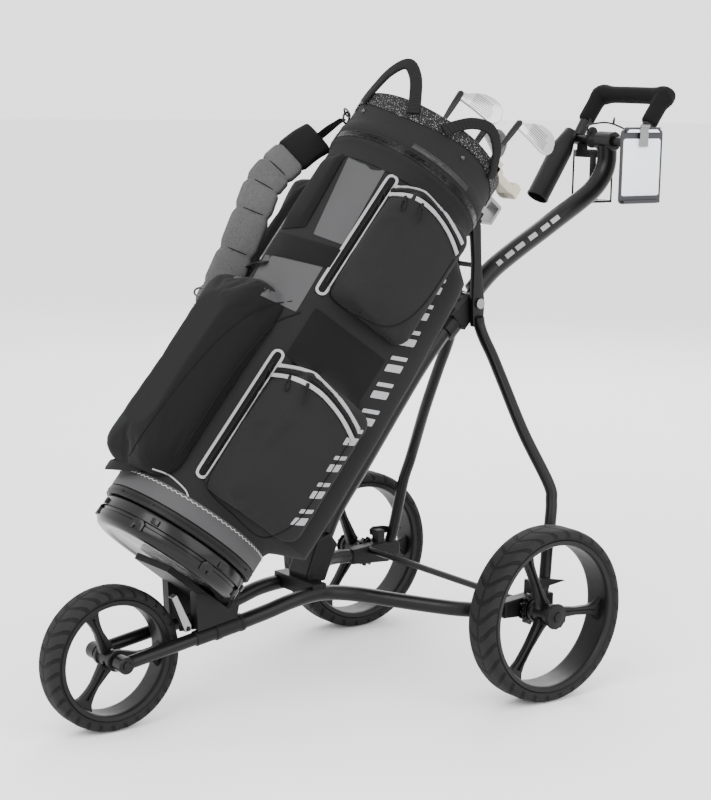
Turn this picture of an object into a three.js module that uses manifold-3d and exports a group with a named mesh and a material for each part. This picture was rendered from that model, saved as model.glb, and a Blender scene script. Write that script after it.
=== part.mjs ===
// A golf bag on a three-wheel push cart, in millimetres.
// +Z is up, the cart rolls towards -Y, and +X is its left side. The origin is on the floor,
// below the middle of the cart. Inside the cart group Y is counted from the rear axle.

import * as THREE from 'three';
import { mergeVertices } from 'three/addons/utils/BufferGeometryUtils.js';
import Module from 'manifold-3d';

const wasm = await Module();
wasm.setup();

// Driving dimensions
const gap = 0.4;
const rearWheelRadius = 145;
const rearWheelWidth = 62;
const rearTrack = 523;
const frontWheelRadius = 114;
const frontWheelWidth = 54;
const wheelbase = 667;
const rearAxleRadius = 6;
const frontAxleRadius = 5;
const mainTubeRadius = 17.5;
const frameTubeRadius = 12.5;
const forkTubeRadius = 10.5;
const forkHalfWidth = 43;
const strutRadius = 10;
const strutTopX = 29.5;
const foldPoint = [30, 630];
const armPoint = [350, 901];
const armRadius = 9;
const gripPoint = [410, 982];
const gripHalfWidth = 80;
const handleTubeRadius = 10.5;
const gripRadius = 15.5;
const elbowRadius = 19;
const gripReach = 19;
const bagTilt = THREE.MathUtils.degToRad(38.64);
const bagFoot = [0, -576, 252];
const bagRadius = 129;
const wellRadius = 117;
const trayTop = 46;
const bodyLow = 62;
const collarLow = 700;
const collarTop = 826;
const saddleInner = 137.2;
const saddleOuter = 142;
const clubFoot = 58;

const root = new THREE.Group();
const cart = new THREE.Group();
const bag = new THREE.Group();
cart.position.y = (wheelbase + frontWheelRadius - gripPoint[0] - gripReach) / 2;
bag.position.set(...bagFoot);
bag.rotation.x = -bagTilt;
cart.add(bag);
root.add(cart);

// Finishes
function finish(color, roughness, metalness) {
  return new THREE.MeshStandardMaterial({ color, roughness, metalness });
}
const satinBlack = finish(0x17171a, 0.4, 0.5);
const moulding = finish(0x1c1c1e, 0.55, 0);
const glossMoulding = finish(0x0e0e10, 0.2, 0);
const tyreRubber = finish(0x232325, 0.85, 0);
const foam = finish(0x2a2a2c, 0.9, 0);
const nylon = finish(0x1b1b1e, 0.8, 0);
const charcoalNylon = finish(0x2d2b2f, 0.85, 0);
const paddedMesh = finish(0x77797c, 0.9, 0);
const steel = finish(0xb4b6b8, 0.25, 1);
const zinc = finish(0x9a9ea0, 0.4, 0.8);

// Solids. A geometry made here by a join or a cut has no normals and already shares its vertices.
function toSolid(geometry) {
  let merged = geometry;
  if (geometry.attributes.normal) {
    const bare = geometry.clone();
    bare.deleteAttribute('normal');
    bare.deleteAttribute('uv');
    merged = mergeVertices(bare, 1e-3);
  }
  return new wasm.Manifold(new wasm.Mesh({
    numProp: 3,
    vertProperties: new Float32Array(merged.attributes.position.array),
    triVerts: new Uint32Array(merged.index.array),
  }));
}

function toGeometry(solid) {
  const data = solid.getMesh();
  const geometry = new THREE.BufferGeometry();
  geometry.setAttribute('position', new THREE.BufferAttribute(new Float32Array(data.vertProperties), 3));
  geometry.setIndex(new THREE.BufferAttribute(new Uint32Array(data.triVerts), 1));
  return geometry;
}

function join(...pieces) {
  return toGeometry(pieces.map(toSolid).reduce((whole, piece) => whole.add(piece)));
}

function cut(piece, ...tools) {
  return toGeometry(tools.map(toSolid).reduce((whole, tool) => whole.subtract(tool), toSolid(piece)));
}

// The same piece on the other side of the middle plane, its faces still pointing out.
function mirrored(geometry) {
  const copy = geometry.clone().scale(-1, 1, 1);
  const order = copy.index.array;
  for (let i = 0; i < order.length; i += 3) {
    [order[i], order[i + 1]] = [order[i + 1], order[i]];
  }
  return copy;
}

function addPart(group, name, geometry, material) {
  const mesh = new THREE.Mesh(geometry, material);
  mesh.name = name;
  group.add(mesh);
}

function addPair(group, name, geometry, material) {
  addPart(group, `${name}_left`, geometry, material);
  addPart(group, `${name}_right`, mirrored(join(geometry)), material);
}

function roundShape(radiusX, radiusY, sides) {
  const points = [];
  for (let i = 0; i < sides; i += 1) {
    const angle = ((i + 0.5) / sides) * 2 * Math.PI;
    points.push(new THREE.Vector2(radiusX * Math.cos(angle), radiusY * Math.sin(angle)));
  }
  return new THREE.Shape(points);
}

function tube(points, radius, sides, steps, flatRadius = radius) {
  const corners = points.map((point) => new THREE.Vector3(...point));
  const path = new THREE.CatmullRomCurve3(corners, false, 'centripetal');
  const shape = roundShape(radius, flatRadius, sides);
  return new THREE.ExtrudeGeometry(shape, { steps, bevelEnabled: false, extrudePath: path });
}

// A straight round bar between two points
function bar(from, to, radius, sides = 12, endRadius = radius) {
  const along = new THREE.Vector3(...to).sub(new THREE.Vector3(...from));
  const geometry = new THREE.CylinderGeometry(endRadius, radius, along.length(), sides);
  geometry.rotateY(Math.PI / sides).translate(0, along.length() / 2, 0);
  const turn = new THREE.Quaternion().setFromUnitVectors(new THREE.Vector3(0, 1, 0), along.normalize());
  return geometry.applyQuaternion(turn).translate(...from);
}

// A bar along X, centred on a point given in (Y, Z)
function crossBar(lowX, highX, point, radius, sides = 12, endRadius = radius) {
  return bar([lowX, ...point], [highX, ...point], radius, sides, endRadius);
}

function block(low, high) {
  const size = high.map((value, i) => value - low[i]);
  const centre = high.map((value, i) => (value + low[i]) / 2);
  return new THREE.BoxGeometry(...size).translate(...centre);
}

function roundedRectangle(low, high, radius) {
  const shape = new THREE.Shape();
  shape.moveTo(low[0] + radius, low[1]);
  shape.lineTo(high[0] - radius, low[1]);
  shape.absarc(high[0] - radius, low[1] + radius, radius, -Math.PI / 2, 0);
  shape.lineTo(high[0], high[1] - radius);
  shape.absarc(high[0] - radius, high[1] - radius, radius, 0, Math.PI / 2);
  shape.lineTo(low[0] + radius, high[1]);
  shape.absarc(low[0] + radius, high[1] - radius, radius, Math.PI / 2, Math.PI);
  shape.lineTo(low[0], low[1] + radius);
  shape.absarc(low[0] + radius, low[1] + radius, radius, Math.PI, 1.5 * Math.PI);
  return shape;
}

function outline(points) {
  return new THREE.Shape(points.map(([x, y]) => new THREE.Vector2(x, y)));
}

function extruded(shape, depth, bevel = 0, curveSegments = 3) {
  return new THREE.ExtrudeGeometry(shape, {
    depth: depth - 2 * bevel,
    bevelEnabled: bevel > 0,
    bevelSize: bevel,
    bevelThickness: bevel,
    bevelOffset: -bevel,
    bevelSegments: 2,
    curveSegments,
  }).translate(0, 0, bevel);
}

// A plate drawn in (Y, Z) whose thickness runs along X
function sidePlate(shape, lowX, highX, bevel = 0, curveSegments = 3) {
  const alongX = new THREE.Matrix4().makeBasis(
    new THREE.Vector3(0, 1, 0), new THREE.Vector3(0, 0, 1), new THREE.Vector3(1, 0, 0));
  return extruded(shape, highX - lowX, bevel, curveSegments).applyMatrix4(alongX).translate(lowX, 0, 0);
}

// A profile of (radius, height), turned about X or Z
function turned(profile, sides, axis) {
  const points = profile.map(([radius, height]) => new THREE.Vector2(radius, height));
  const geometry = new THREE.LatheGeometry(points, sides, Math.PI / sides);
  return axis === 'x' ? geometry.rotateZ(-Math.PI / 2) : geometry.rotateX(Math.PI / 2);
}

function ring(outer, inner, low, high, sides, axis) {
  return turned([[inner, low], [outer, low], [outer, high], [inner, high], [inner, low]], sides, axis);
}

function disc(radius, low, high, sides, axis) {
  return turned([[0, low], [radius, low], [radius, high], [0, high]], sides, axis);
}

// A piece drawn on the bag's own axis, placed on the cart
function inBag(geometry) {
  return geometry.rotateX(-bagTilt).translate(...bagFoot);
}

// Wheels: a tyre on a rim with three spokes and a bored hub
function addWheel(name, radius, width, axleRadius, x, y, hub) {
  const wheel = new THREE.Group();
  wheel.position.set(x, y, radius);
  cart.add(wheel);
  const sides = 32;
  const treadRadius = radius / Math.cos(Math.PI / sides);
  const half = width / 2;
  const rimRadius = radius - 19;
  const tyreProfile = [
    [rimRadius + gap, -half + 6], [treadRadius - 13, -half], [treadRadius, -half + 12],
    [treadRadius, half - 12], [treadRadius - 13, half], [rimRadius + gap, half - 6], [rimRadius + gap, -half + 6],
  ];
  addPart(wheel, `${name}_tyre`, turned(tyreProfile, sides, 'x'), tyreRubber);
  const rimInner = radius - 27;
  const pieces = [ring(rimRadius, rimInner, -half + 4, half - 4, sides, 'x')];
  pieces.push(crossBar(hub.low, hub.high, [0, 0], hub.radius, 20));
  for (const angle of [-5, 115, 235]) {
    const spoke = sidePlate(outline([[12, -11], [rimInner - 22, -7], [rimInner + 3, -19],
      [rimInner + 3, 19], [rimInner - 22, 7], [12, 11]]), -7, 7);
    pieces.push(spoke.rotateX(THREE.MathUtils.degToRad(angle)));
  }
  const bore = crossBar(-width, width, [0, 0], axleRadius + gap);
  addPart(wheel, `${name}_rim`, cut(join(...pieces), bore), moulding);
}

const rearWheelX = rearTrack / 2;
const hubPoint = [0, rearWheelRadius];
const leftHub = { radius: 19, low: -25, high: 22 };
const rightHub = { radius: 19, low: -22, high: 25 };
const frontHub = { radius: 17, low: -24, high: 24 };
addWheel('rear_left', rearWheelRadius, rearWheelWidth, rearAxleRadius, rearWheelX, 0, leftHub);
addWheel('rear_right', rearWheelRadius, rearWheelWidth, rearAxleRadius, -rearWheelX, 0, rightHub);
addWheel('front', frontWheelRadius, frontWheelWidth, frontAxleRadius, 0, -wheelbase, frontHub);

// Rear hubs: fixed axle, screwed cap, toothed brake ring and its lever
const bracketLow = 196;
const bracketHigh = 221;
const axleBore = crossBar(150, 288.4, hubPoint, rearAxleRadius + gap);
addPair(cart, 'rear_axle', crossBar(bracketHigh - 16, 288, hubPoint, rearAxleRadius), steel);
const capDisc = join(crossBar(284, 291, hubPoint, 21.5, 20, 19), crossBar(290, 295.5, hubPoint, 9, 6));
addPair(cart, 'rear_hub_cap', cut(capDisc, axleBore), moulding);
const brakeTeeth = 14;
const toothPoints = [];
for (let i = 0; i < brakeTeeth * 4; i += 1) {
  const angle = (i / (brakeTeeth * 4)) * 2 * Math.PI;
  const reach = i % 4 < 2 ? 27 : 22;
  toothPoints.push([reach * Math.cos(angle), reach * Math.sin(angle)]);
}
const toothedRing = sidePlate(outline(toothPoints), bracketHigh + 2, bracketHigh + 10).translate(0, ...hubPoint);
const brakeRing = join(crossBar(bracketHigh + gap, 235.5, hubPoint, 21, 16), toothedRing);
addPair(cart, 'rear_brake_ring', cut(brakeRing, axleBore), glossMoulding);
const leverPivot = [14, 182];
const brakeLever = sidePlate(outline([[6, 176], [26, 175], [78, 181], [34, 190], [12, 191], [4, 186]]),
  bracketHigh - 2, bracketHigh + 4);
addPair(cart, 'rear_brake_lever', cut(brakeLever, crossBar(200, 240, leverPivot, 3.5 + gap, 10)), moulding);

// Frame: each side tube rises behind its sleeve and sweeps out to the rear bracket
const framePath = [
  [forkHalfWidth, -451, 148.6], [45, -405, 158], [48, -360, 169], [48, -315, 174], [50, -275, 171.5],
  [68, -234, 166], [104, -200, 161.5], [150, -160, 157], [186, -124, 153.5], [204, -88, 150.5], [209, -55, 147.5],
];
const frameRoom = tube(framePath, frameTubeRadius + gap, 10, 16);
addPair(cart, 'frame_tube', tube(framePath, frameTubeRadius, 10, 16), satinBlack);

// Rear brackets: a flat box that holds the frame tube's end, the axle, the strut's foot and the lever
const bracketShape = outline([[-52, 133], [30, 128], [56, 140], [56, 162], [20, 166], [-52, 160]]);
const leverPost = join(
  block([bracketLow + 4, 6, 160], [bracketHigh - 3, 22, 188]),
  crossBar(bracketLow + 6, bracketHigh + 5, leverPivot, 3.5, 10));
const bracket = join(sidePlate(bracketShape, bracketLow, bracketHigh, 3), leverPost);
const axleSocket = crossBar(bracketHigh - 16.4, 300, hubPoint, rearAxleRadius + gap);
addPair(cart, 'rear_bracket', cut(bracket, axleSocket, frameRoom), moulding);

// Fork: two straight tubes from the front axle, each slid into a sleeve
const forkFront = [-wheelbase, frontWheelRadius];
const forkRear = [-452, 148.2];
const forkBoss = crossBar(30.5, 54, forkFront, 13.5, 16);
const forkTube = bar([forkHalfWidth, ...forkFront], [forkHalfWidth, ...forkRear], forkTubeRadius, 12);
const frontAxleBore = crossBar(-60, 50.4, forkFront, frontAxleRadius + gap);
addPair(cart, 'fork_tube', cut(join(forkBoss, forkTube), frontAxleBore), satinBlack);
addPart(cart, 'front_axle', crossBar(-50, 50, forkFront, frontAxleRadius), steel);
const forkAlong = (share) => {
  const [y, z] = forkFront.map((value, i) => value + (forkRear[i] - value) * share);
  return [forkHalfWidth, y, z];
};
const sleeveRadius = 14.5;
const sleeve = join(
  bar(forkAlong(0.59), forkAlong(0.76), sleeveRadius - 2, 14),
  bar(forkAlong(0.75), forkAlong(1), sleeveRadius, 14));
const sleeveBore = bar(forkAlong(0.5), forkAlong(1.1), forkTubeRadius + gap, 12);
addPair(cart, 'fork_sleeve', cut(sleeve, sleeveBore), satinBlack);

addPart(cart, 'cross_rod', crossBar(-bracketLow + gap, bracketLow - gap, [-14, 156], 6, 10), satinBlack);

// Struts: round legs that rise from the rear brackets and end as flat arms beside the main tube
const strutArmFoot = [31, 596];
const strutArmTop = [20, 768];
const strutTube = tube([
  [208.5, 40, 162.5], [207, 46, 182], [202, 54, 235], [198.5, 62, 280], [192, 69, 312], [182, 70, 340],
  [133, 54, 420], [87, 45, 500], [60, 40, 542], [42, 34, 574], [strutTopX + 1, ...strutArmFoot],
  [strutTopX, 31, 612],
], strutRadius, 10, 16);
const strutArm = sidePlate(outline([
  [strutArmFoot[0] - 10, strutArmFoot[1] - 6], [strutArmFoot[0] + 10, strutArmFoot[1] - 6],
  [foldPoint[0] + 13, foldPoint[1]], [strutArmTop[0] + 14, 700], [strutArmTop[0] + 11, strutArmTop[1]],
  [strutArmTop[0] - 9, strutArmTop[1]], [strutArmTop[0] - 2, 700], [foldPoint[0] - 13, foldPoint[1]],
]), strutTopX - 5.5, strutTopX + 5.5);
const foldBore = crossBar(-60, 60, foldPoint, 5 + gap);
const bracketClearance = sidePlate(bracketShape, bracketLow - 5, bracketHigh + 5).translate(0, 0, gap);
const strutTrim = block([0, -20, 560], [strutTopX - 5.5, 80, 800]);
const saddleRoom = inBag(disc(saddleOuter + gap, 700, 820, 32, 'z'));
const strut = cut(join(strutTube, strutArm), foldBore, strutTrim, bracketClearance, saddleRoom);
addPair(cart, 'strut', strut, satinBlack);
addPart(cart, 'strut_cross_pin', crossBar(-23.6, 23.6, [30, 694], 4.5, 10), satinBlack);

// Spine: foot bracket on the frame tubes, straight tube up to the folding knuckle
const footShape = outline([[-312, 183], [-276, 187], [-252, 246], [-268, 266], [-292, 258], [-314, 200]]);
const footFlange = block([-56, -322, 168], [56, -296, 192]);
const footBlock = cut(join(sidePlate(footShape, -27, 27, 3), footFlange), frameRoom, mirrored(join(frameRoom)));
const spinePath = [[0, -279, 222], [0, -262, 262], [0, -240, 303], [0, -188, 371], [0, -119, 464],
  [0, -70, 528], [0, -24, 580], [0, 10, 611]];
const spineRoomPath = [[0, -280, 219.5], ...spinePath.slice(1, -1), [0, 12, 613]];
const spineBore = tube(spineRoomPath, mainTubeRadius + 3 * gap, 12, 10);
addPart(cart, 'spine_foot', cut(footBlock, spineBore), moulding);
addPart(cart, 'spine_tube', tube(spinePath, mainTubeRadius, 12, 10), satinBlack);

// Folding knuckle: a collar on the spine's end with two cheeks, between them the eye of the handle tube
const knuckleBack = Math.SQRT1_2;
const onSpine = (distance) => foldPoint.map((value) => value - distance * knuckleBack);
const cheekShape = outline([
  [foldPoint[0] - 12, foldPoint[1] + 12], [onSpine(46)[0] - 13, onSpine(46)[1] + 13],
  [onSpine(46)[0] + 13, onSpine(46)[1] - 13], [foldPoint[0] + 12, foldPoint[1] - 12],
]);
const eyeRoom = crossBar(-10.4, 10.4, foldPoint, 23, 16);
const knuckle = cut(
  join(crossBar(-23, 23, foldPoint, 18, 16), sidePlate(cheekShape, -23, 23),
    bar([0, ...onSpine(70)], [0, ...onSpine(30)], 22.5, 16)),
  eyeRoom, spineBore, foldBore);
addPart(cart, 'fold_knuckle', knuckle, moulding);
const boltHead = join(crossBar(-41, 41, foldPoint, 5),
  crossBar(35.4, 41, foldPoint, 9, 12), crossBar(-41, -35.4, foldPoint, 9, 12));
addPart(cart, 'fold_bolt', boltHead, zinc);

// Handle tube: eye, S-shaped tube and the barrel that clamps the handle's arm
const handlePath = [
  [0, 47, 647], [0, 58, 658], [0, 80, 677], [0, 105, 694], [0, 150, 720], [0, 195, 744.5], [0, 241, 770],
  [0, 288, 796], [0, 320, 817], [0, 341, 840], [0, 350, 864], [0, armPoint[0], armPoint[1] - 8],
];
const eyeNeck = bar([0, ...foldPoint], [0, 50, 650], 9.6, 10);
const barrel = crossBar(-20, 20, armPoint, 17, 16);
const armBore = crossBar(-100, 100, armPoint, armRadius + gap);
const eye = crossBar(-9.6, 9.6, foldPoint, 16, 16);
const handleTube = join(tube(handlePath, mainTubeRadius, 12, 14), eye, eyeNeck, barrel);
addPart(cart, 'handle_tube', cut(handleTube, foldBore, armBore), satinBlack);

// Handle: a closed loop that turns in the barrel, with a foam grip, and the knob that clamps it
const legPath = [[armPoint[0] + 4, armPoint[1] + 6], [371, 934], [394, 966], [405, 978]];
const gripCorner = [gripHalfWidth - 12, ...gripPoint];
const loopSide = (sign) => [
  ...legPath.map((point) => [sign * gripHalfWidth, ...point]), [sign * gripCorner[0], ...gripPoint]];
const loopPath = [...loopSide(-1), ...loopSide(1).reverse()];
const armBar = crossBar(-gripHalfWidth - 6, gripHalfWidth + 6, armPoint, armRadius);
addPart(cart, 'handle_loop', join(tube(loopPath, handleTubeRadius, 8, 22), armBar), satinBlack);
const loopRoom = [tube(loopPath, handleTubeRadius + gap, 8, 22), armBore];
const gripPath = loopPath.slice(1, -1);
const gripElbow = new THREE.SphereGeometry(elbowRadius, 8, 6);
const grip = join(tube(gripPath, gripRadius, 10, 10),
  gripElbow.clone().translate(...gripCorner), gripElbow.clone().translate(-gripCorner[0], ...gripPoint));
addPart(cart, 'foam_grip', cut(grip, loopRoom[0]), foam);
const knobFace = sidePlate(roundShape(13, 19, 16), -44, -34, 2).translate(0, armPoint[0], armPoint[1] + 5);
const knob = join(crossBar(-36, -20.5, armPoint, 13.5, 14), knobFace);
addPart(cart, 'tilt_knob', cut(knob, armBore), moulding);

// Umbrella holder: an open tube below the right end of the arm
const umbrellaTop = [-gripHalfWidth, 316, 886];
const umbrellaEnd = [-gripHalfWidth, 258, 797];
const umbrellaNeck = bar(umbrellaTop, [-gripHalfWidth, 345, 912], 20.5, 16, 11);
const umbrellaRoom = bar([-gripHalfWidth, 254, 791], [-gripHalfWidth, 311, 878], 18, 16);
const umbrellaTube = cut(join(bar(umbrellaEnd, umbrellaTop, 20.5, 16), umbrellaNeck), umbrellaRoom, ...loopRoom);
addPart(cart, 'umbrella_holder', umbrellaTube, moulding);

// Bottle holder: a ring, four ribs and a base ring, clipped under the arm
const bottlePoint = [-62, 376];
const bottlePieces = [
  ring(37, 33.5, 870, 882, 16, 'z'), ring(30, 14, 788, 792, 16, 'z'),
];
for (let i = 0; i < 4; i += 1) {
  const rib = join(block([33.4, -5, 788], [36.6, 5, 874]), block([27, -5, 788], [36.6, 5, 792]));
  bottlePieces.push(rib.rotateZ(((i + 0.5) / 4) * 2 * Math.PI));
}
const bottleClip = block([-68, 340, 872], [-52, 352, 894]);
const bottleHolder = join(join(...bottlePieces).translate(...bottlePoint, 0), bottleClip);
addPart(cart, 'bottle_holder', cut(bottleHolder, armBore), moulding);

// Scorecard plate beside the left end of the arm, and its clip
const cardLow = [289, 796];
const cardHigh = [389, 925];
const cardPlate = join(
  sidePlate(roundedRectangle(cardLow, cardHigh, 8), 94.5, 98),
  block([97, cardLow[0] + 6, cardLow[1] + 1], [104, cardHigh[0] - 6, cardLow[1] + 6]),
  block([97, cardLow[0] + 8, 919], [100.6, cardHigh[0] - 8, 929]),
  crossBar(90.9, 95, armPoint, 8));
addPart(cart, 'card_plate', cut(cardPlate, ...loopRoom), zinc);
const clipHinge = [104, 931];
const cardClip = join(
  block([101.2, 329, 895], [103, 349, clipHinge[1]]),
  bar([clipHinge[0], 329, clipHinge[1]], [clipHinge[0], 349, clipHinge[1]], 2.8, 10));
addPart(cart, 'card_clip', cardClip, zinc);

// Lower cradle under the bag's foot, standing on the fork sleeves, with its latch
const latchPivot = [-553, 153];
const cradleFoot = sidePlate(outline([[-538, 140], [-468, 148], [-462, 178], [-500, 200], [-543, 210]]), 33, 51);
const latchEar = join(
  sidePlate(outline([[-560, 147], [-540, 146], [-530, 160], [-540, 170], [-558, 160]]), 28.4, 33.4),
  crossBar(29, 48, latchPivot, 3, 10));
const cradlePieces = [
  inBag(block([-50, -14, -12], [50, 134, -1])), inBag(block([-30, 132.6, -12], [30, 140, 40])),
  cradleFoot, mirrored(join(cradleFoot)), latchEar,
];
const sleeveRoom = bar(forkAlong(0.5), forkAlong(1.1), sleeveRadius + gap, 14);
const trayRoom = inBag(disc(132.2, -0.8, 300, 32, 'z'));
addPart(cart, 'cradle', cut(join(...cradlePieces), sleeveRoom, mirrored(join(sleeveRoom)), trayRoom), moulding);
const latchLever = sidePlate(outline([
  [-558, 148], [-548, 149], [-547, 158], [-574, 211], [-583, 206],
]), 34, 46);
addPart(cart, 'cradle_latch', cut(latchLever, crossBar(20, 60, latchPivot, 3 + gap, 10)), zinc);

// Upper bag bracket between the strut arms: a saddle round the collar, and its hooked buckle
const saddleLow = 752;
const saddleHigh = 784;
const saddleSector = outline([[0, 0], [-95, 200], [95, 200]]);
const saddleBand = cut(ring(saddleOuter, saddleInner, saddleLow, saddleHigh, 36, 'z'),
  cut(block([-200, -200, 700], [200, 200, 840]), extruded(saddleSector, 300).translate(0, 0, 650)));
const bucklePivot = [154, 784];
const buckleEar = block([17.4, 146, saddleLow + 10], [23.4, 160, saddleHigh + 6]);
const saddle = join(saddleBand, block([-23.4, 139, saddleLow + 2], [23.4, 156, saddleHigh - 10]),
  block([-23.4, 139, saddleLow + 2], [23.4, 147, saddleHigh]),
  buckleEar, mirrored(join(buckleEar)), crossBar(-18, 18, bucklePivot, 2.5, 10));
addPart(bag, 'upper_bracket', saddle, moulding);
const buckleHook = sidePlate(outline([[151, 786], [157, 784], [157, 831], [181, 831], [181, 801], [186, 800],
  [186, 834], [183, 837], [154, 837], [151, 834]]), -16.8, 16.8);
const buckle = join(buckleHook, crossBar(-16.8, 16.8, bucklePivot, 5, 12));
addPart(bag, 'bag_buckle', cut(buckle, crossBar(-20, 20, bucklePivot, 2.5 + gap, 10)), zinc);

// Bag foot: moulded tray and trim ring
const trayProfile = [[0, 3], [96, 3], [100, 0], [114, 0], [124, 8], [126.5, 40], [126.5, trayTop], [0, trayTop]];
addPart(bag, 'base_tray', turned(trayProfile, 32, 'z'), glossMoulding);
addPart(bag, 'base_ring', ring(131.5, 112, trayTop + gap, bodyLow - gap, 32, 'z'), moulding);

// Bag body: a skin that is wide and square behind, round in front, and narrows towards the collar
function skin(offset) {
  const shape = new THREE.Shape();
  shape.moveTo(-150 - offset, 10);
  shape.quadraticCurveTo(-140 - offset, -45, -112 - offset, -66 - offset);
  shape.absarc(0, 0, bagRadius + 1 + offset, 1.171 * Math.PI, 1.829 * Math.PI);
  shape.quadraticCurveTo(140 + offset, -45, 150 + offset, 10);
  shape.lineTo(168 + offset, 96);
  shape.quadraticCurveTo(166 + offset, 128 + offset, 134, 129 + offset);
  shape.lineTo(-134, 129 + offset);
  shape.quadraticCurveTo(-166 - offset, 128 + offset, -168 - offset, 96);
  const low = 104;
  const depth = collarLow - low - 24 + offset;
  const geometry = new THREE.ExtrudeGeometry(shape, { depth, steps: 3, bevelEnabled: false, curveSegments: 5 });
  const position = geometry.attributes.position;
  for (let i = 0; i < position.count; i += 1) {
    const share = position.getZ(i) / depth;
    position.setX(i, position.getX(i) * (1 - 0.19 * share * share));
  }
  return geometry.translate(0, 0, low);
}
const well = disc(wellRadius, 0, 900, 32, 'z');
const bodyCore = disc(bagRadius, bodyLow, collarLow, 32, 'z');
addPart(bag, 'bag_body', cut(join(bodyCore, skin(0)), well), nylon);
const pocketRoom = [skin(4 * gap), disc(bagRadius + 4 * gap, 0, 900, 32, 'z')];
function sidePocket(low, high, depthX) {
  const pocket = sidePlate(roundedRectangle(low, high, 26), 90, depthX, 12);
  return cut(pocket, ...pocketRoom);
}
const lowerPocket = sidePocket([-88, 112], [74, 352], 188);
const upperPocket = sidePocket([-86, 470], [62, 694], 172);
addPair(bag, 'lower_pocket', lowerPocket, charcoalNylon);
addPair(bag, 'upper_pocket', upperPocket, charcoalNylon);
const ballShape = roundedRectangle([-84, 92], [76, 446], 40);
const ballPocket = extruded(ballShape, 120, 24).rotateX(Math.PI / 2).translate(0, -54, 0);
addPart(bag, 'ball_pocket', cut(ballPocket, ...pocketRoom), nylon);

// Collar: a trimmed ring with a divider grid
const collarProfile = [
  [wellRadius, collarLow + gap], [131, collarLow + gap], [131, 724], [136.5, 730], [136.5, 766], [133, 772],
  [133, collarTop], [wellRadius, collarTop], [wellRadius, collarLow + gap],
];
const dividerLow = 776;
const dividerHigh = 812;
const divider = (low, high) => block([...low, dividerLow], [...high, dividerHigh]);
const collar = join(turned(collarProfile, 32, 'z'),
  divider([-119, -42], [119, -36]), divider([-119, 36], [119, 42]), divider([-3, -119], [3, 119]));
addPart(bag, 'collar', collar, glossMoulding);

// Carrying loops on the collar
function collarLoop(fromAngle, toAngle, height) {
  const points = [0, 0.12, 0.5, 0.88, 1].map((share, i) => {
    const angle = THREE.MathUtils.degToRad(fromAngle + (toAngle - fromAngle) * share);
    const reach = [140.5, 142, 144, 142, 140.5][i];
    return [reach * Math.cos(angle), reach * Math.sin(angle), 778 + height * [0, 0.6, 1, 0.6, 0][i]];
  });
  return tube(points, 6.5, 8, 14);
}
addPart(bag, 'front_loop', collarLoop(-100, -54, 92), nylon);
addPart(bag, 'side_loop', collarLoop(-30, 22, 70), nylon);

// Shoulder strap: a padded band that hangs clear of the bag, its flat side turned to the left
const strapAngle = THREE.MathUtils.degToRad(-120);
const strapOut = [Math.cos(strapAngle), Math.sin(strapAngle)];
const strapPath = [[160, 48, 742], [170, 36, 716], [178, 25, 686], [187, 20, 650], [191, 20, 612], [181, 24, 563],
  [166, 46, 494], [155, 68, 431], [149, 77, 392]].map(([out, aside, height]) => [
  out * strapOut[0] + aside * strapOut[1], out * strapOut[1] - aside * strapOut[0], height]);
const strapShape = outline([[-1, -0.5], [-0.8, -1], [0.8, -1], [1, -0.5], [1, 0.5], [0.8, 1], [-0.8, 1], [-1, 0.5]]
  .map(([wide, thick]) => [wide * 30, thick * 11])
  .map(([wide, thick]) => [
    -wide * strapOut[0] - thick * strapOut[1], wide * strapOut[1] - thick * strapOut[0]]));
const strapCurve = new THREE.CatmullRomCurve3(strapPath.map((point) => new THREE.Vector3(...point)));
addPart(bag, 'shoulder_strap', new THREE.ExtrudeGeometry(strapShape,
  { steps: 16, bevelEnabled: false, extrudePath: strapCurve }), paddedMesh);

// Clubs, grip down in the well, each leaning a little as it lies in its divider
function club(name, foot, tip, head, material) {
  const low = new THREE.Vector3(...foot, clubFoot);
  const high = new THREE.Vector3(...tip);
  const at = (share) => low.clone().lerp(high, share).toArray();
  const pieces = [bar(at(0), at(0.29), 13, 10, 9), bar(at(0.28), tip, 5, 8), head.translate(...tip)];
  addPart(bag, name, join(...pieces), material);
}
const bladeShape = outline([[-6, -8], [4, -12], [30, -12], [63, -15], [78, -9], [82, 2], [78, 16], [70, 23],
  [55, 27], [38, 26], [18, 14], [8, 6], [-6, 4]]);
function ironHead(turn) {
  return extruded(bladeShape, 8, 1.5).rotateX(Math.PI / 2).translate(0, 4, 0).rotateZ(turn);
}
club('iron_one', [-20, 12], [-20, 12, 944], ironHead(1.1), steel);
club('iron_two', [24, 20], [24, 116, 966], ironHead(1.4), steel);
club('iron_three', [-40, 60], [-40, 108, 945], ironHead(1.9), zinc);
const putterHead = extruded(roundedRectangle([-8, -8], [46, 70], 10), 24, 4);
club('putter', [56, 50], [50, 80, 832], putterHead, zinc);

export default root;
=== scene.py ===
import math
import bpy
import bmesh
from mathutils import Matrix, Vector
from mathutils.bvhtree import BVHTree


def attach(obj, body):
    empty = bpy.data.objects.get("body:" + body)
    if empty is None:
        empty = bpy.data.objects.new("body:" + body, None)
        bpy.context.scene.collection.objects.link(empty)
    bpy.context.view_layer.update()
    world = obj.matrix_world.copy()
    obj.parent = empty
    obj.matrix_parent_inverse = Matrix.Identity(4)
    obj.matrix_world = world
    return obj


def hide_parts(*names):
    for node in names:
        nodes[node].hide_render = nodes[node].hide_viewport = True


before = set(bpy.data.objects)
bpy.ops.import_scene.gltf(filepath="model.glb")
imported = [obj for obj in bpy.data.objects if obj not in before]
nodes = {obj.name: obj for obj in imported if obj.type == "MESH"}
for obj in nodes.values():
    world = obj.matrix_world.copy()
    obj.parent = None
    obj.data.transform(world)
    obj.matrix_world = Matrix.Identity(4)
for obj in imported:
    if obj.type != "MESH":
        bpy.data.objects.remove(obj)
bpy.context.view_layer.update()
scene = bpy.context.scene
print("frame loaded")

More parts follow.
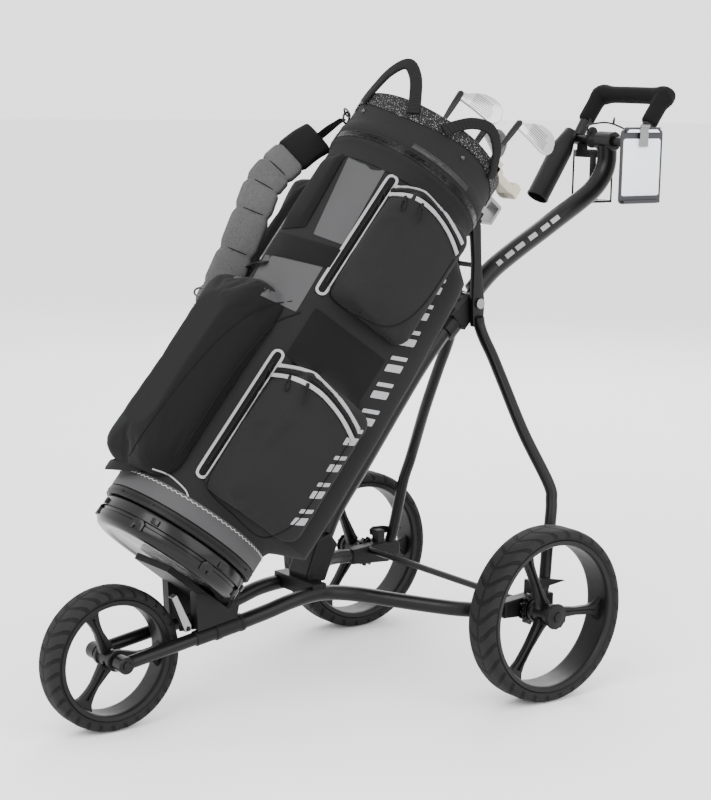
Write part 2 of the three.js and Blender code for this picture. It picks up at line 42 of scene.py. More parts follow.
# Places. Shapes are drawn in millimetres, on the cart (Y counted from the rear axle) or on the bag's own axis.
millimetre = Matrix.Scale(0.001, 4)
cartPlace = millimetre @ Matrix.Translation((0, 176, 0))
bagTilt = math.radians(38.64)
bagPlace = cartPlace @ Matrix.Translation((0, -576, 252)) @ Matrix.Rotation(-bagTilt, 4, "X")


# Shader signals: sockets that take sums and products, and the maker that adds nodes
class Signal:
    def __init__(self, maker, socket):
        self.maker = maker
        self.socket = socket

    def combine(self, operation, first, second):
        return self.maker.node("ShaderNodeMath", {"operation": operation}, {0: first, 1: second})

    def __add__(self, other):
        return self.combine("ADD", self, other)

    def __radd__(self, other):
        return self.combine("ADD", other, self)

    def __sub__(self, other):
        return self.combine("SUBTRACT", self, other)

    def __rsub__(self, other):
        return self.combine("SUBTRACT", other, self)

    def __mul__(self, other):
        return self.combine("MULTIPLY", self, other)

    def __rmul__(self, other):
        return self.combine("MULTIPLY", other, self)

    def __truediv__(self, other):
        return self.combine("DIVIDE", self, other)


class Maker:
    def __init__(self, name):
        self.material = bpy.data.materials.new(name)
        self.material.use_nodes = True
        self.tree = self.material.node_tree
        self.tree.nodes.clear()
        self.place = self.node("ShaderNodeTexCoord", output="Object")

    def node(self, kind, settings=None, inputs=None, output=0):
        item = self.tree.nodes.new(kind)
        for key, value in (settings or {}).items():
            if key == "stops":
                ramp = item.color_ramp.elements
                while len(ramp) < len(value):
                    ramp.new(0.5)
                for stop, (position, colour) in zip(ramp, value):
                    stop.position = position
                    stop.color = (*colour, 1)
            else:
                setattr(item, key, value)
        for key, value in (inputs or {}).items():
            if isinstance(value, Signal):
                self.tree.links.new(value.socket, item.inputs[key])
            else:
                item.inputs[key].default_value = value
        return Signal(self, item.outputs[output])

    def noise(self, scale, detail=2.0, place=None):
        return self.node("ShaderNodeTexNoise", None,
                         {"Vector": place or self.place, "Scale": scale, "Detail": detail}, output="Fac")

    def ramp(self, signal, stops):
        return self.node("ShaderNodeValToRGB", {"stops": stops}, {"Fac": signal}, output="Color")

    def between(self, signal, low, high):
        return low + signal * (high - low)

    def mix(self, mask, first, second):
        return self.node("ShaderNodeMix", {"data_type": "RGBA"}, {0: mask, 6: first, 7: second}, output=2)

    def clamp(self, signal, low, high):
        return self.node("ShaderNodeMapRange", None,
                         {"Value": signal, "From Min": low, "From Max": high}, output="Result")

    def parts(self, place=None):
        split = self.node("ShaderNodeSeparateXYZ", None, {0: place or self.place})
        return [Signal(self, split.socket.node.outputs[i]) for i in range(3)]

    def bump(self, height, strength, distance):
        return self.node("ShaderNodeBump", None, {"Height": height, "Strength": strength, "Distance": distance})

    def finish(self, **values):
        sockets = {key.replace("_", " "): value for key, value in values.items()}
        surface = self.node("ShaderNodeBsdfPrincipled", None, sockets)
        out = self.tree.nodes.new("ShaderNodeOutputMaterial")
        self.tree.links.new(surface.socket, out.inputs["Surface"])
        return self.material


def grey(value, tint=0.0):
    return (value, value, value * (1 + tint), 1)


def dustedBlack(name, base, rough, grain, grainDepth, coat=0.0, metal=0.0, shine=0.25):
    made = Maker(name)
    cloud = made.noise(14, 3)
    fine = made.noise(grain, 2)
    colour = made.mix(cloud, grey(base * 0.8, 0.05), grey(base * 1.35, 0.05))
    return made.finish(Base_Color=colour, Roughness=made.between(made.noise(60, 3), rough - 0.06, rough + 0.08),
                       Metallic=metal, Coat_Weight=coat, Coat_Roughness=0.15, Specular_IOR_Level=shine,
                       Normal=made.bump(fine, 0.35, grainDepth))


def wovenCloth(name, base, pale, pitch, depth, rough=0.85, sheen=0.02, shine=0.12):
    made = Maker(name)
    turned = made.node("ShaderNodeMapping", None, {"Vector": made.place, "Rotation": (bagTilt, 0, 0)})
    across, through, along = made.parts(turned)
    turn = 2 * math.pi / pitch
    weft = made.node("ShaderNodeMath", {"operation": "SINE"}, {0: along * turn})
    warp = made.node("ShaderNodeMath", {"operation": "SINE"}, {0: (across + through * 0.7) * turn})
    weave = 0.5 + weft * warp * 0.5
    folds = made.noise(9, 3)
    # Colour follows the fold noise that also makes the soft bump, darker in the fold hollows and paler on the crests:
    # painted shade on the folds; the weave adds thread pattern
    colour = made.mix(made.clamp(weave * 0.5 + folds * 0.5, 0.2, 0.8), grey(base, 0.04), grey(pale, 0.04))
    height = weave * 0.5 + made.noise(1500, 2) * 0.5
    soft = made.bump(folds, 0.25, 0.006)
    height = made.node("ShaderNodeBump", None,
                       {"Height": height, "Strength": 0.5, "Distance": depth, "Normal": soft})
    return made.finish(Base_Color=colour, Roughness=made.between(folds, rough - 0.08, rough + 0.08),
                       Sheen_Weight=sheen, Sheen_Roughness=0.5, Specular_IOR_Level=shine, Normal=height)


def ribbedWebbing(name, base, pale, pitch):
    made = Maker(name)
    across, through, along = made.parts()
    turn = 2 * math.pi / pitch
    ribs = made.node("ShaderNodeMath", {"operation": "SINE"}, {0: (along + through * 0.8) * turn})
    lines = made.node("ShaderNodeMath", {"operation": "SINE"}, {0: (across - through) * turn * 0.6})
    height = ribs * 0.35 + lines * 0.15 + 0.5
    colour = made.mix(made.clamp(height + made.noise(300) * 0.3, 0.3, 1.1), grey(base), grey(pale))
    return made.finish(Base_Color=colour, Roughness=0.75, Specular_IOR_Level=0.12,
                       Normal=made.bump(height, 0.6, 0.0006))


def sparkleTrim(name):
    made = Maker(name)
    cells = made.node("ShaderNodeTexVoronoi", None, {"Vector": made.place, "Scale": 520}, output="Distance")
    specks = made.clamp(cells, 0.36, 0.2)
    strong = made.clamp(made.noise(420, 1), 0.46, 0.54)
    colour = made.mix(specks * strong, grey(0.006), grey(0.3))
    return made.finish(Base_Color=colour, Roughness=0.6, Specular_IOR_Level=0.15,
                       Normal=made.bump(cells, 0.7, 0.0008))


def paddedMesh(name, base, pale):
    made = Maker(name)
    cells = made.node("ShaderNodeTexVoronoi", None, {"Vector": made.place, "Scale": 620}, output="Distance")
    holes = made.clamp(cells, 0.1, 0.35)
    folds = made.noise(16, 3)
    colour = made.mix(made.clamp(holes * 0.8 + folds * 0.3, 0.15, 1.0), grey(base), grey(pale))
    return made.finish(Base_Color=colour, Roughness=0.9, Specular_IOR_Level=0.1,
                       Normal=made.bump(holes, 0.6, 0.001))


def treadRubber(name, centre, radius, blocks):
    made = Maker(name)
    shifted = made.node("ShaderNodeVectorMath", {"operation": "SUBTRACT"}, {0: made.place, 1: centre})
    across, forward, up = made.parts(shifted)
    angle = made.node("ShaderNodeMath", {"operation": "ARCTAN2"}, {0: up, 1: forward})
    bend = made.node("ShaderNodeMath", {"operation": "ABSOLUTE"}, {0: across * 1000})
    reach = made.node("ShaderNodeVectorMath", {"operation": "LENGTH"}, {0: made.node(
        "ShaderNodeCombineXYZ", None, {1: forward, 2: up})}, output="Value")
    sweepIn = made.node("ShaderNodeMath", {"operation": "POWER"}, {0: bend * 0.045, 1: 1.7})
    leaf = made.node("ShaderNodeMath", {"operation": "SINE"}, {0: angle * blocks + sweepIn * 3.2})
    tread = made.clamp(reach, radius - 0.016, radius - 0.011)
    groove = made.clamp(leaf, -0.85, -0.5)
    centreLine = made.clamp(bend, 1.2, 2.4)
    height = 1 - tread * (1 - groove * centreLine)
    dust = made.noise(40, 4)
    # Colour is darker down the tread grooves and paler on the blocks: painted shade in the grooves, with the dust
    # noise adding random tone
    colour = made.mix(made.clamp(height * 0.7 + dust * 0.3, 0.2, 1.0), grey(0.004), grey(0.013))
    return made.finish(Base_Color=colour, Roughness=made.between(dust, 0.62, 0.85), Specular_IOR_Level=0.15,
                       Normal=made.bump(height + made.noise(1200) * 0.05, 0.9, 0.0025))


def brightMetal(name, base, rough):
    made = Maker(name)
    brush = made.noise(300, 3)
    colour = made.mix(made.noise(25), grey(base * 0.9), grey(base))
    normal = made.bump(brush, 0.12, 0.0003)
    return made.finish(Base_Color=colour, Metallic=1.0, Normal=normal,
                       Roughness=made.between(brush, max(rough - 0.06, 0.05), rough + 0.06))


def paleMoulding(name, base):
    made = Maker(name)
    cloud = made.noise(30, 3)
    colour = made.mix(cloud, (base[0] * 0.92, base[1] * 0.92, base[2] * 0.92, 1), (*base, 1))
    return made.finish(Base_Color=colour, Roughness=made.between(cloud, 0.35, 0.5),
                       Normal=made.bump(made.noise(900), 0.15, 0.0002))


finishes = {
    "tubeBlack": dustedBlack("tubeBlack", 0.0035, 0.34, 1500, 0.00015, coat=0.06, shine=0.16),
    "moulding": dustedBlack("moulding", 0.004, 0.46, 1700, 0.00025, shine=0.16),
    "rimMoulding": dustedBlack("rimMoulding", 0.005, 0.4, 1500, 0.0002, shine=0.18),
    "glossMoulding": dustedBlack("glossMoulding", 0.003, 0.22, 500, 0.00006, coat=0.08, shine=0.2),
    "gripFoam": dustedBlack("gripFoam", 0.004, 0.82, 700, 0.0009, shine=0.1),
    "bagNylon": wovenCloth("bagNylon", 0.0025, 0.006, 0.0011, 0.0003),
    "charcoalNylon": wovenCloth("charcoalNylon", 0.007, 0.013, 0.0014, 0.0004),
    "greyNylon": wovenCloth("greyNylon", 0.03, 0.044, 0.0013, 0.0003, 0.6, shine=0.3),
    "webbing": ribbedWebbing("webbing", 0.003, 0.012, 0.0026),
    "silverTape": wovenCloth("silverTape", 0.2, 0.32, 0.0012, 0.0002, 0.6),
    "sparkleTrim": sparkleTrim("sparkleTrim"),
    "strapMesh": paddedMesh("strapMesh", 0.008, 0.075),
    "chrome": brightMetal("chrome", 0.5, 0.2),
    "satinZinc": brightMetal("satinZinc", 0.26, 0.34),
    "darkSteel": brightMetal("darkSteel", 0.05, 0.3),
    "headAlloy": paleMoulding("headAlloy", (0.44, 0.4, 0.32)),
    "cardFace": paleMoulding("cardFace", (0.78, 0.82, 0.88)),
    "cardFrame": paleMoulding("cardFrame", (0.012, 0.012, 0.016)),
    "stitching": paleMoulding("stitching", (0.6, 0.6, 0.58)),
}
print("finishes made")


# Shapes
def smoothPath(points, steps):
    spots = [Vector(point) for point in points]
    ends = [2 * spots[0] - spots[1]] + spots + [2 * spots[-1] - spots[-2]]
    path = []
    for i in range(1, len(ends) - 2):
        before, start, stop, after = ends[i - 1:i + 3]
        for k in range(steps):
            t = k / steps
            path.append(0.5 * (2 * start + (stop - before) * t + (2 * before - 5 * start + 4 * stop - after) * t * t
                               + (3 * start - before - 3 * stop + after) * t ** 3))
    return path + [spots[-1]]


def sweep(shape, path, width, thick=None, sides=20, side=None, scales=None, squareness=0.0):
    # a round or flat section carried along a path; side is the direction its width keeps to
    thick = width if thick is None else thick
    stations = []
    last = None
    for i, spot in enumerate(path):
        ahead = (path[min(i + 1, len(path) - 1)] - path[max(i - 1, 0)]).normalized()
        if side is not None:
            given = side[i] if isinstance(side, list) else side
            wide = (given - ahead * given.dot(ahead)).normalized()
        elif last is None:
            wide = ahead.orthogonal().normalized()
        else:
            wide = (last - ahead * last.dot(ahead)).normalized()
        last = wide
        high = ahead.cross(wide)
        size = scales[i] if scales else 1.0
        turn = Matrix((wide * width * size, high * thick * size, ahead)).transposed().to_4x4()
        turn.translation = spot
        stations.append(turn)
    made = bmesh.ops.create_circle(shape, cap_ends=True, radius=1.0, segments=sides)
    ring = made["verts"]
    if squareness:
        for vert in ring:
            push = max(abs(vert.co.x), abs(vert.co.y))
            vert.co *= 1 + squareness * (1 / push - 1)
    bmesh.ops.transform(shape, matrix=stations[0], verts=ring)
    edges = [edge for edge in shape.edges if edge.verts[0] in ring and edge.verts[1] in ring]
    for before, after in zip(stations, stations[1:]):
        verts, edges = grow(shape, edges)
        bmesh.ops.transform(shape, matrix=after @ before.inverted(), verts=verts)
    bmesh.ops.holes_fill(shape, edges=edges, sides=sides)


def grow(shape, edges):
    # the open edges drawn out once more: their new points and edges
    made = bmesh.ops.extrude_edge_only(shape, edges=edges)["geom"]
    verts = [item for item in made if isinstance(item, bmesh.types.BMVert)]
    fresh = set(verts)
    return verts, [item for item in made if isinstance(item, bmesh.types.BMEdge)
                   and item.verts[0] in fresh and item.verts[1] in fresh]


def lathe(shape, profile, centre, axis="X", steps=96):
    # a closed profile of (radius, place along the axis) turned once round
    direction = Vector((1, 0, 0)) if axis == "X" else Vector((0, 0, 1))
    outward = Vector((0, 0, 1)) if axis == "X" else Vector((1, 0, 0))
    verts = [shape.verts.new(Vector(centre) + outward * radius + direction * place) for radius, place in profile]
    edges = [shape.edges.new((a, b)) for a, b in zip(verts, verts[1:] + verts[:1])]
    bmesh.ops.spin(shape, geom=verts + edges, cent=centre, axis=direction, angle=2 * math.pi, steps=steps,
                   use_merge=True, use_duplicate=False)
    bmesh.ops.remove_doubles(shape, verts=shape.verts, dist=1e-4)


def plate(shape, corners, low, high, bevel=1.0, place=None):
    # an outline in (Y, Z) with its thickness along X
    verts = [shape.verts.new((low, y, z)) for y, z in corners]
    face = shape.faces.new(verts)
    grown = bmesh.ops.extrude_face_region(shape, geom=[face])["geom"]
    top = [item for item in grown if isinstance(item, bmesh.types.BMVert)]
    bmesh.ops.translate(shape, verts=top, vec=(high - low, 0, 0))
    solid = verts + top
    if bevel:
        edges = {edge for vert in solid for edge in vert.link_edges}
        grown = bmesh.ops.bevel(shape, geom=list(edges), offset=bevel, segments=3, affect="EDGES", profile=0.5,
                                material=-1)
        solid = list({vert for face in grown["faces"] for vert in face.verts} | {v for v in solid if v.is_valid})
    if place is not None:
        bmesh.ops.transform(shape, matrix=place, verts=solid)


def crossBar(shape, low, high, centre, radius, bevel=0.8, sides=40):
    lathe(shape, [(0, low), (radius - bevel, low), (radius, low + bevel), (radius, high - bevel),
                  (radius - bevel, high), (0, high)], (0, *centre), "X", sides)


def settle(name, shape, material, body, place=cartPlace, nodesMeant=(), sharp=38, subdivide=0):
    bmesh.ops.remove_doubles(shape, verts=shape.verts, dist=1e-5)
    bmesh.ops.recalc_face_normals(shape, faces=shape.faces)
    shape.transform(place)
    mesh = bpy.data.meshes.new(name)
    shape.to_mesh(mesh)
    shape.free()
    mesh.polygons.foreach_set("use_smooth", [True] * len(mesh.polygons))
    mesh.set_sharp_from_angle(angle=math.radians(sharp))
    piece = bpy.data.objects.new(name, mesh)
    scene.collection.objects.link(piece)
    mesh.materials.append(finishes[material] if isinstance(material, str) else material)
    if subdivide:
        rounder = piece.modifiers.new("rounder", "SUBSURF")
        rounder.levels = rounder.render_levels = subdivide
    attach(piece, body)
    if nodesMeant:
        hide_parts(*nodesMeant)
    return piece


def dress(node, material, bevel=0.0006):
    # a CAD node keeps its shape; its edges are eased and it gets its finish
    piece = nodes[node]
    piece.data.materials.clear()
    piece.data.materials.append(finishes[material])
    weld = piece.modifiers.new("weld", "WELD")
    weld.merge_threshold = 0.00001
    ease = piece.modifiers.new("ease", "BEVEL")
    ease.width = bevel
    ease.segments = 2
    ease.limit_method = "ANGLE"
    ease.angle_limit = math.radians(40)
    ease.use_clamp_overlap = True


sides = {"left": 1, "right": -1}

# Camera and light
camera = bpy.data.objects.new("camera", bpy.data.cameras.new("camera"))
scene.collection.objects.link(camera)
scene.camera = camera
camera.data.lens = 87.12
azimuth, elevation, roll = (math.radians(value) for value in (53.07, 9.668, 1.165))
back = Vector((math.sin(azimuth) * math.cos(elevation), -math.cos(azimuth) * math.cos(elevation),
               math.sin(elevation)))
right = (-back).cross(Vector((0, 0, 1))).normalized()
up = right.cross(-back)
rightTurned = right * math.cos(roll) + up * math.sin(roll)
upTurned = up * math.cos(roll) - right * math.sin(roll)
turn = Matrix((rightTurned, upTurned, back)).transposed().to_4x4()
camera.matrix_world = Matrix.Translation((2.528, -1.926, 1.017)) @ turn

lamps = {"key": ((1.2, -2.6, 3.0), 2.4, 120), "fill": ((3.4, 0.6, 1.8), 2.6, 55),
         "back": ((-2.4, 2.6, 2.6), 2.4, 90)}
for name, (place, size, power) in lamps.items():
    lamp = bpy.data.objects.new(name, bpy.data.lights.new(name, "AREA"))
    lamp.data.size = size
    lamp.data.energy = power
    lamp.location = place
    lamp.rotation_euler = (Vector(place) - Vector((0, 0, 0.5))).to_track_quat("Z", "Y").to_euler()
    scene.collection.objects.link(lamp)
world = bpy.data.worlds.new("studio")
world.use_nodes = True
world.node_tree.nodes["Background"].inputs["Color"].default_value = (1, 1, 1, 1)
world.node_tree.nodes["Background"].inputs["Strength"].default_value = 2.2
scene.world = world
floorShape = bmesh.new()
bmesh.ops.create_grid(floorShape, x_segments=1, y_segments=1, size=30)
floorMesh = bpy.data.meshes.new("floor")
floorShape.to_mesh(floorMesh)
floorShape.free()
floorPiece = bpy.data.objects.new("floor", floorMesh)
scene.collection.objects.link(floorPiece)
floorMaker = Maker("floorPaper")
floorMesh.materials.append(floorMaker.finish(
    Base_Color=floorMaker.mix(floorMaker.noise(3), (0.86, 0.86, 0.86, 1), (0.9, 0.9, 0.9, 1)), Roughness=0.9))
print("camera and light set")

# Wheels
wheels = {
    "rear_left": {"x": 261.5, "y": 0, "radius": 145, "width": 62, "hub": 19, "body": "rear_left_wheel", "face": 1},
    "rear_right": {"x": -261.5, "y": 0, "radius": 145, "width": 62, "hub": 19, "body": "rear_right_wheel",
                   "face": -1},
    "front": {"x": 0, "y": -667, "radius": 114, "width": 54, "hub": 17, "body": "front_wheel", "face": 1},
}
for name, wheel in wheels.items():
    radius, half = wheel["radius"], wheel["width"] / 2
    centre = (wheel["x"], wheel["y"], radius)
    shape = bmesh.new()
    rim = radius - 20
    section = [(rim, 8 - half), (rim + 4, 4 - half), (radius - 12, 0.6 - half), (radius - 7, 1.6 - half),
               (radius - 3, 5 - half), (radius - 0.8, 11 - half), (radius, 18 - half)]
    section += [(reach, -place) for reach, place in reversed(section)]
    lathe(shape, section, centre, "X", 144)
    rubber = treadRubber("tread_" + name, tuple(cartPlace @ Vector(centre)), radius / 1000, 30)
    settle(name + "_tyre_tread", shape, rubber, wheel["body"], nodesMeant=(name + "_tyre",))

    shape = bmesh.new()
    inner = radius - 27
    barrel = [(inner, 7 - half), (inner + 1.5, 5 - half), (rim + 1, 3.6 - half), (rim + 2.4, 5 - half),
              (rim - 0.6, 9 - half), (rim - 2, 14 - half)]
    barrel += [(reach, -place) for reach, place in reversed(barrel)]
    barrel += [(inner - 1, half - 12), (inner + 1, 0), (inner - 1, 12 - half)]
    lathe(shape, barrel, centre, "X", 120)
    low, high = (-25, 22) if wheel["face"] > 0 else (-22, 25)
    if name == "front":
        low, high = -24, 24
    hub = [(7, low), (wheel["hub"] - 1.5, low), (wheel["hub"], low + 1.5), (wheel["hub"], low + 8),
           (wheel["hub"] - 3, low + 11), (wheel["hub"] - 3, high - 11), (wheel["hub"], high - 8),
           (wheel["hub"], high - 1.5), (wheel["hub"] - 1.5, high), (7, high)]
    lathe(shape, hub, centre, "X", 48)
    for angle in (-5, 115, 235):
        reach = inner + 0.5
        spoke = [(14, -12), (26, -9.5), (reach * 0.55, -6.5), (reach - 26, -7.5), (reach - 12, -11),
                 (reach - 4, -17),
                 (reach, -24), (reach, 24), (reach - 4, 17), (reach - 12, 11), (reach - 26, 7.5),
                 (reach * 0.55, 6.5),
                 (26, 9.5), (14, 12)]
        place = Matrix.Translation(centre) @ Matrix.Rotation(math.radians(angle), 4, "X")
        plate(shape, spoke, -6.5, 6.5, 2.2, place)
        for edge in (-1, 1):
            flange = [(20, -1.6), (reach - 14, -1.6), (reach - 14, 1.6), (20, 1.6)]
            plate(shape, flange, edge * 8.6 - 2.4, edge * 8.6 + 2.4, 1.0, place)
    settle(name + "_rim_spoked", shape, "rimMoulding", wheel["body"], nodesMeant=(name + "_rim",))
print("wheels made")

# Rear hubs
for side, sign in sides.items():
    shape = bmesh.new()
    cap = [(0, 284.4), (16, 284.4), (20.5, 285.4), (21.5, 287), (20, 290.2), (10.5, 291), (9, 292), (8.4, 294.8),
           (6, 295.4),
           (0, 295.4)]
    lathe(shape, [(r, sign * x) for r, x in cap], (0, 0, 145), "X", 48)
    for i in range(12):
        turn = Matrix.Translation((0, 0, 145)) @ Matrix.Rotation(i * math.pi / 6, 4, "X")
        plate(shape, [(18.2, -2), (21.3, -2), (21.3, 2), (18.2, 2)], sign * 288 - 2.2, sign * 288 + 2.2, 0.5, turn)
    settle("hub_cap_" + side, shape, "moulding", "chassis", nodesMeant=("rear_hub_cap_" + side,))
    dress("rear_axle_" + side, "satinZinc", 0.0002)
    dress("rear_brake_ring_" + side, "glossMoulding", 0.0005)
    dress("rear_brake_lever_" + side, "moulding", 0.0012)
    dress("rear_bracket_" + side, "moulding", 0.0015)

# Frame tubes
framePath = [(43, -451, 148.6), (45, -405, 158), (48, -360, 169), (48, -315, 174), (50, -275, 171.5),
             (68, -234, 166),
             (104, -200, 161.5), (150, -160, 157), (186, -124, 153.5), (204, -88, 150.5), (209, -55, 147.5)]
strutPath = [(208.5, 40, 163), (207, 46, 182), (202, 54, 235), (198.5, 62, 280), (192, 69, 312), (182, 70, 340),
             (133, 54, 420), (87, 45, 500), (62, 41, 542), (44, 36, 572), (35.5, 33, 592), (34.2, 31, 606)]
forkFront, forkRear = Vector((0, -667, 114)), Vector((0, -452, 148.2))


def mirrorPoints(points, sign):
    return [(sign * x, y, z) for x, y, z in points]


def alongFork(share, sign):
    spot = forkFront.lerp(forkRear, share)
    return Vector((sign * 43, spot.y, spot.z))


for side, sign in sides.items():
    shape = bmesh.new()
    sweep(shape, smoothPath(mirrorPoints(framePath, sign), 8), 12.5, sides=28)
    settle("frame_side_" + side, shape, "tubeBlack", "chassis", nodesMeant=("frame_tube_" + side,))
    shape = bmesh.new()
    sweep(shape, [alongFork(0, sign), alongFork(0.5, sign), alongFork(1, sign)], 10.5, sides=28)
    crossBar(shape, *sorted((sign * 30.5, sign * 54)), (-667, 114), 13.4, 1.2)
    crossBar(shape, *sorted((sign * 53, sign * 57)), (-667, 114), 7.5, 1.0, 6)
    settle("fork_leg_" + side, shape, "tubeBlack", "chassis", nodesMeant=("fork_tube_" + side,))
    shape = bmesh.new()
    sleeve = [(0.59, 11.4), (0.595, 12.5), (0.755, 12.5), (0.76, 14.5), (0.8, 14.5), (0.802, 13.6), (0.97, 13.6),
              (0.972, 14.5),
              (0.998, 14.5), (1.0, 13.4)]
    sweep(shape, [alongFork(share, sign) for share, size in sleeve], 1.0, sides=32,
          scales=[size for share, size in sleeve])
    settle("fork_socket_" + side, shape, "moulding", "chassis", nodesMeant=("fork_sleeve_" + side,))
    shape = bmesh.new()
    sweep(shape, smoothPath(mirrorPoints(strutPath, sign), 8), 10, sides=28)
    low, high = sorted((sign * 24, sign * 35))
    arm = [(20, 590), (42, 590), (44, 630), (34.5, 700), (31, 764), (26, 768), (14, 768), (11, 764), (17.5, 700),
           (17, 630)]
    plate(shape, arm, low, high, 2.2)
    settle("strut_leg_" + side, shape, "tubeBlack", "chassis", nodesMeant=("strut_" + side,))

shape = bmesh.new()
sweep(shape, [Vector((x, -14, 156)) for x in (-195.6, 0, 195.6)], 6, sides=24)
settle("cross_bar", shape, "tubeBlack", "chassis", nodesMeant=("cross_rod",))
shape = bmesh.new()
sweep(shape, [Vector((x, 30, 694)) for x in (-23.6, 0, 23.6)], 4.5, sides=20)
settle("strut_pin", shape, "tubeBlack", "chassis", nodesMeant=("strut_cross_pin",))

spinePath = [(0, -279, 222), (0, -262, 262), (0, -240, 303), (0, -188, 371), (0, -119, 464), (0, -70, 528),
             (0, -24, 580),
             (0, 10, 611)]
shape = bmesh.new()
sweep(shape, smoothPath(spinePath, 8), 17.4, sides=40)
settle("spine_pipe", shape, "tubeBlack", "chassis", nodesMeant=("spine_tube",))
handlePath = [(0, 47, 647), (0, 58, 658), (0, 80, 677), (0, 105, 694), (0, 150, 720), (0, 195, 744.5),
              (0, 241, 770),
              (0, 288, 796), (0, 320, 817), (0, 341, 840), (0, 350, 864), (0, 350, 893)]
shape = bmesh.new()
handleCurve = smoothPath(handlePath, 8)
sweep(shape, handleCurve, 17.4, sides=40)
crossBar(shape, -9.6, 9.6, (30, 630), 16, 1.0)
sweep(shape, [Vector((0, 34, 634)), Vector((0, 51, 651))], 9.5, sides=24)
crossBar(shape, -20, 20, (350, 901), 17, 2.0)
settle("handle_pipe", shape, "tubeBlack", "handle", nodesMeant=("handle_tube",))
# Six short silver strips laid on the side of the handle tube that faces the light: painted highlights standing in for
# the shine along the tube
towardsLight = Vector((0.79, -0.59, 0.17))
shape = bmesh.new()
for start in (20, 25, 29, 34, 39, 43):
    run = handleCurve[start:start + 4]
    ahead = (run[-1] - run[0]).normalized()
    out = (towardsLight - ahead * towardsLight.dot(ahead)).normalized()
    across = ahead.cross(out)
    sweep(shape, [spot + out * 16.9 for spot in run], 4.2, 0.9, sides=12, side=across, squareness=0.7)
settle("handle_painted_highlight_strips", shape, "silverTape", "handle")
dress("spine_foot", "moulding", 0.002)
dress("fold_knuckle", "moulding", 0.0012)
dress("fold_bolt", "satinZinc", 0.0008)
dress("front_axle", "satinZinc", 0.0002)
dress("cradle", "moulding", 0.0015)
dress("cradle_latch", "satinZinc", 0.0012)
dress("upper_bracket", "moulding", 0.001)
dress("bag_buckle", "satinZinc", 0.0012)
print("frame made")

# Handle
loopCorners = [(354, 907), (371, 934), (394, 966), (405, 978)]
loopPoints = [(-80, y, z) for y, z in loopCorners] + [(-68, 410, 982), (68, 410, 982)] + [
    (80, y, z) for y, z in reversed(loopCorners)]
loopCurve = smoothPath(loopPoints, 10)
shape = bmesh.new()
sweep(shape, loopCurve, 10.4, sides=28)
crossBar(shape, -86, 86, (350, 901), 9, 1.0)
settle("handle_bow", shape, "tubeBlack", "grip", nodesMeant=("handle_loop",))
grip = {"radius": 15, "elbow": 19, "start": 10, "stop": 10}
shape = bmesh.new()
gripCurve = loopCurve[grip["start"]:-grip["stop"]]
elbows = (Vector((-74, 408, 980)), Vector((74, 408, 980)))
swell = [1 + 0.26 * math.exp(-(min((spot - elbow).length for elbow in elbows) / 13) ** 2) for spot in gripCurve]
swell[0] = swell[-1] = 0.86
sweep(shape, gripCurve, grip["radius"], sides=36, scales=swell)
settle("grip_foam_sleeve", shape, "gripFoam", "grip", nodesMeant=("foam_grip",))
shape = bmesh.new()
lathe(shape, [(9.6, -20.6), (13.5, -20.6), (13.5, -22)] + [(13.5 - 0.9 * (i % 2), -22 - i * 1.5) for i in range(9)]
      + [(12.5, -36), (9.6, -36)], (0, 350, 901), "X", 48)
knob = [(13 * math.cos(i * math.pi / 18), 19 * math.sin(i * math.pi / 18)) for i in range(36)]
plate(shape, [(350 + y, 906 + z) for y, z in knob], -44, -35, 2.4)
settle("tilt_clamp_knob", shape, "moulding", "tilt_knob", nodesMeant=("tilt_knob",))
shape = bmesh.new()
umbrella = {"top": Vector((-80, 316, 886)), "end": Vector((-80, 258, 797))}
axis = (umbrella["end"] - umbrella["top"]).normalized()
length = (umbrella["end"] - umbrella["top"]).length
profile = [(0, 8), (17.8, 8), (17.8, length - 1), (18.8, length), (20.5, length - 1.4), (20.5, length - 4),
           (19.8, length - 6),
           (20.2, 6), (19.4, 0), (15, -18), (11, -36), (10, -37), (0, -37)]
lathe(shape, profile, (0, 0, 0), "Z", 48)
bmesh.ops.transform(shape, verts=shape.verts, matrix=Matrix.Translation(umbrella["top"])
                    @ axis.to_track_quat("Z", "Y").to_matrix().to_4x4())
settle("umbrella_socket", shape, "moulding", "grip", nodesMeant=("umbrella_holder",))
dress("bottle_holder", "moulding", 0.001)
dress("card_plate", "cardFrame", 0.0008)
dress("card_clip", "satinZinc", 0.0003)
shape = bmesh.new()
face = [(294, 812), (298, 810), (380, 810), (384, 812), (384, 906), (380, 909), (298, 909), (294, 906)]
plate(shape, face, 97.2, 98.5, 0.5)
plate(shape, [(299, 920), (305, 925), (373, 925), (379, 920)], 100.2, 101.0, 0.3)
settle("card_sheet", shape, "cardFace", "grip")
shape = bmesh.new()
cable = [(-30, 336, 912), (-24, 322, 926), (0, 318, 932), (26, 326, 934), (52, 338, 925), (76, 344, 912)]
sweep(shape, smoothPath(cable, 8), 1.6, sides=12)
for place in ((-18, 322, 928), (34, 330, 932)):
    sweep(shape, [Vector(place), Vector(place) + Vector((0, 1, 7)), Vector(place) + Vector((0, 2, 12))], 2.2,
          sides=12,
          scales=[1, 0.9, 0.6])
settle("clamp_cable", shape, "moulding", "grip")
print("handle made")

# Bag shell: round in front, wide and square behind, narrower towards the collar
bagSize = {"core": 129, "liner": 117.5, "low": 62, "high": 700, "skinLow": 104, "skinTall": 572, "around": 160,
           "fadeFrom": 96, "fadeTo": 694, "crease": 0.8}


def skinOutline(share):
    corners = [(150, 10), (160, 53), (168, 96), (165, 112), (156, 122), (146, 127), (134, 129), (60, 130)]
    pinch = 1 - 0.19 * share * share
    front = [(130 * math.cos(math.radians(a)), 130 * math.sin(math.radians(a))) for a in range(-90, -29, 6)]
    half = front + [(118, -58), (131, -40), (143, -14)] + corners
    return [(x * pinch, n) for x, n in half]


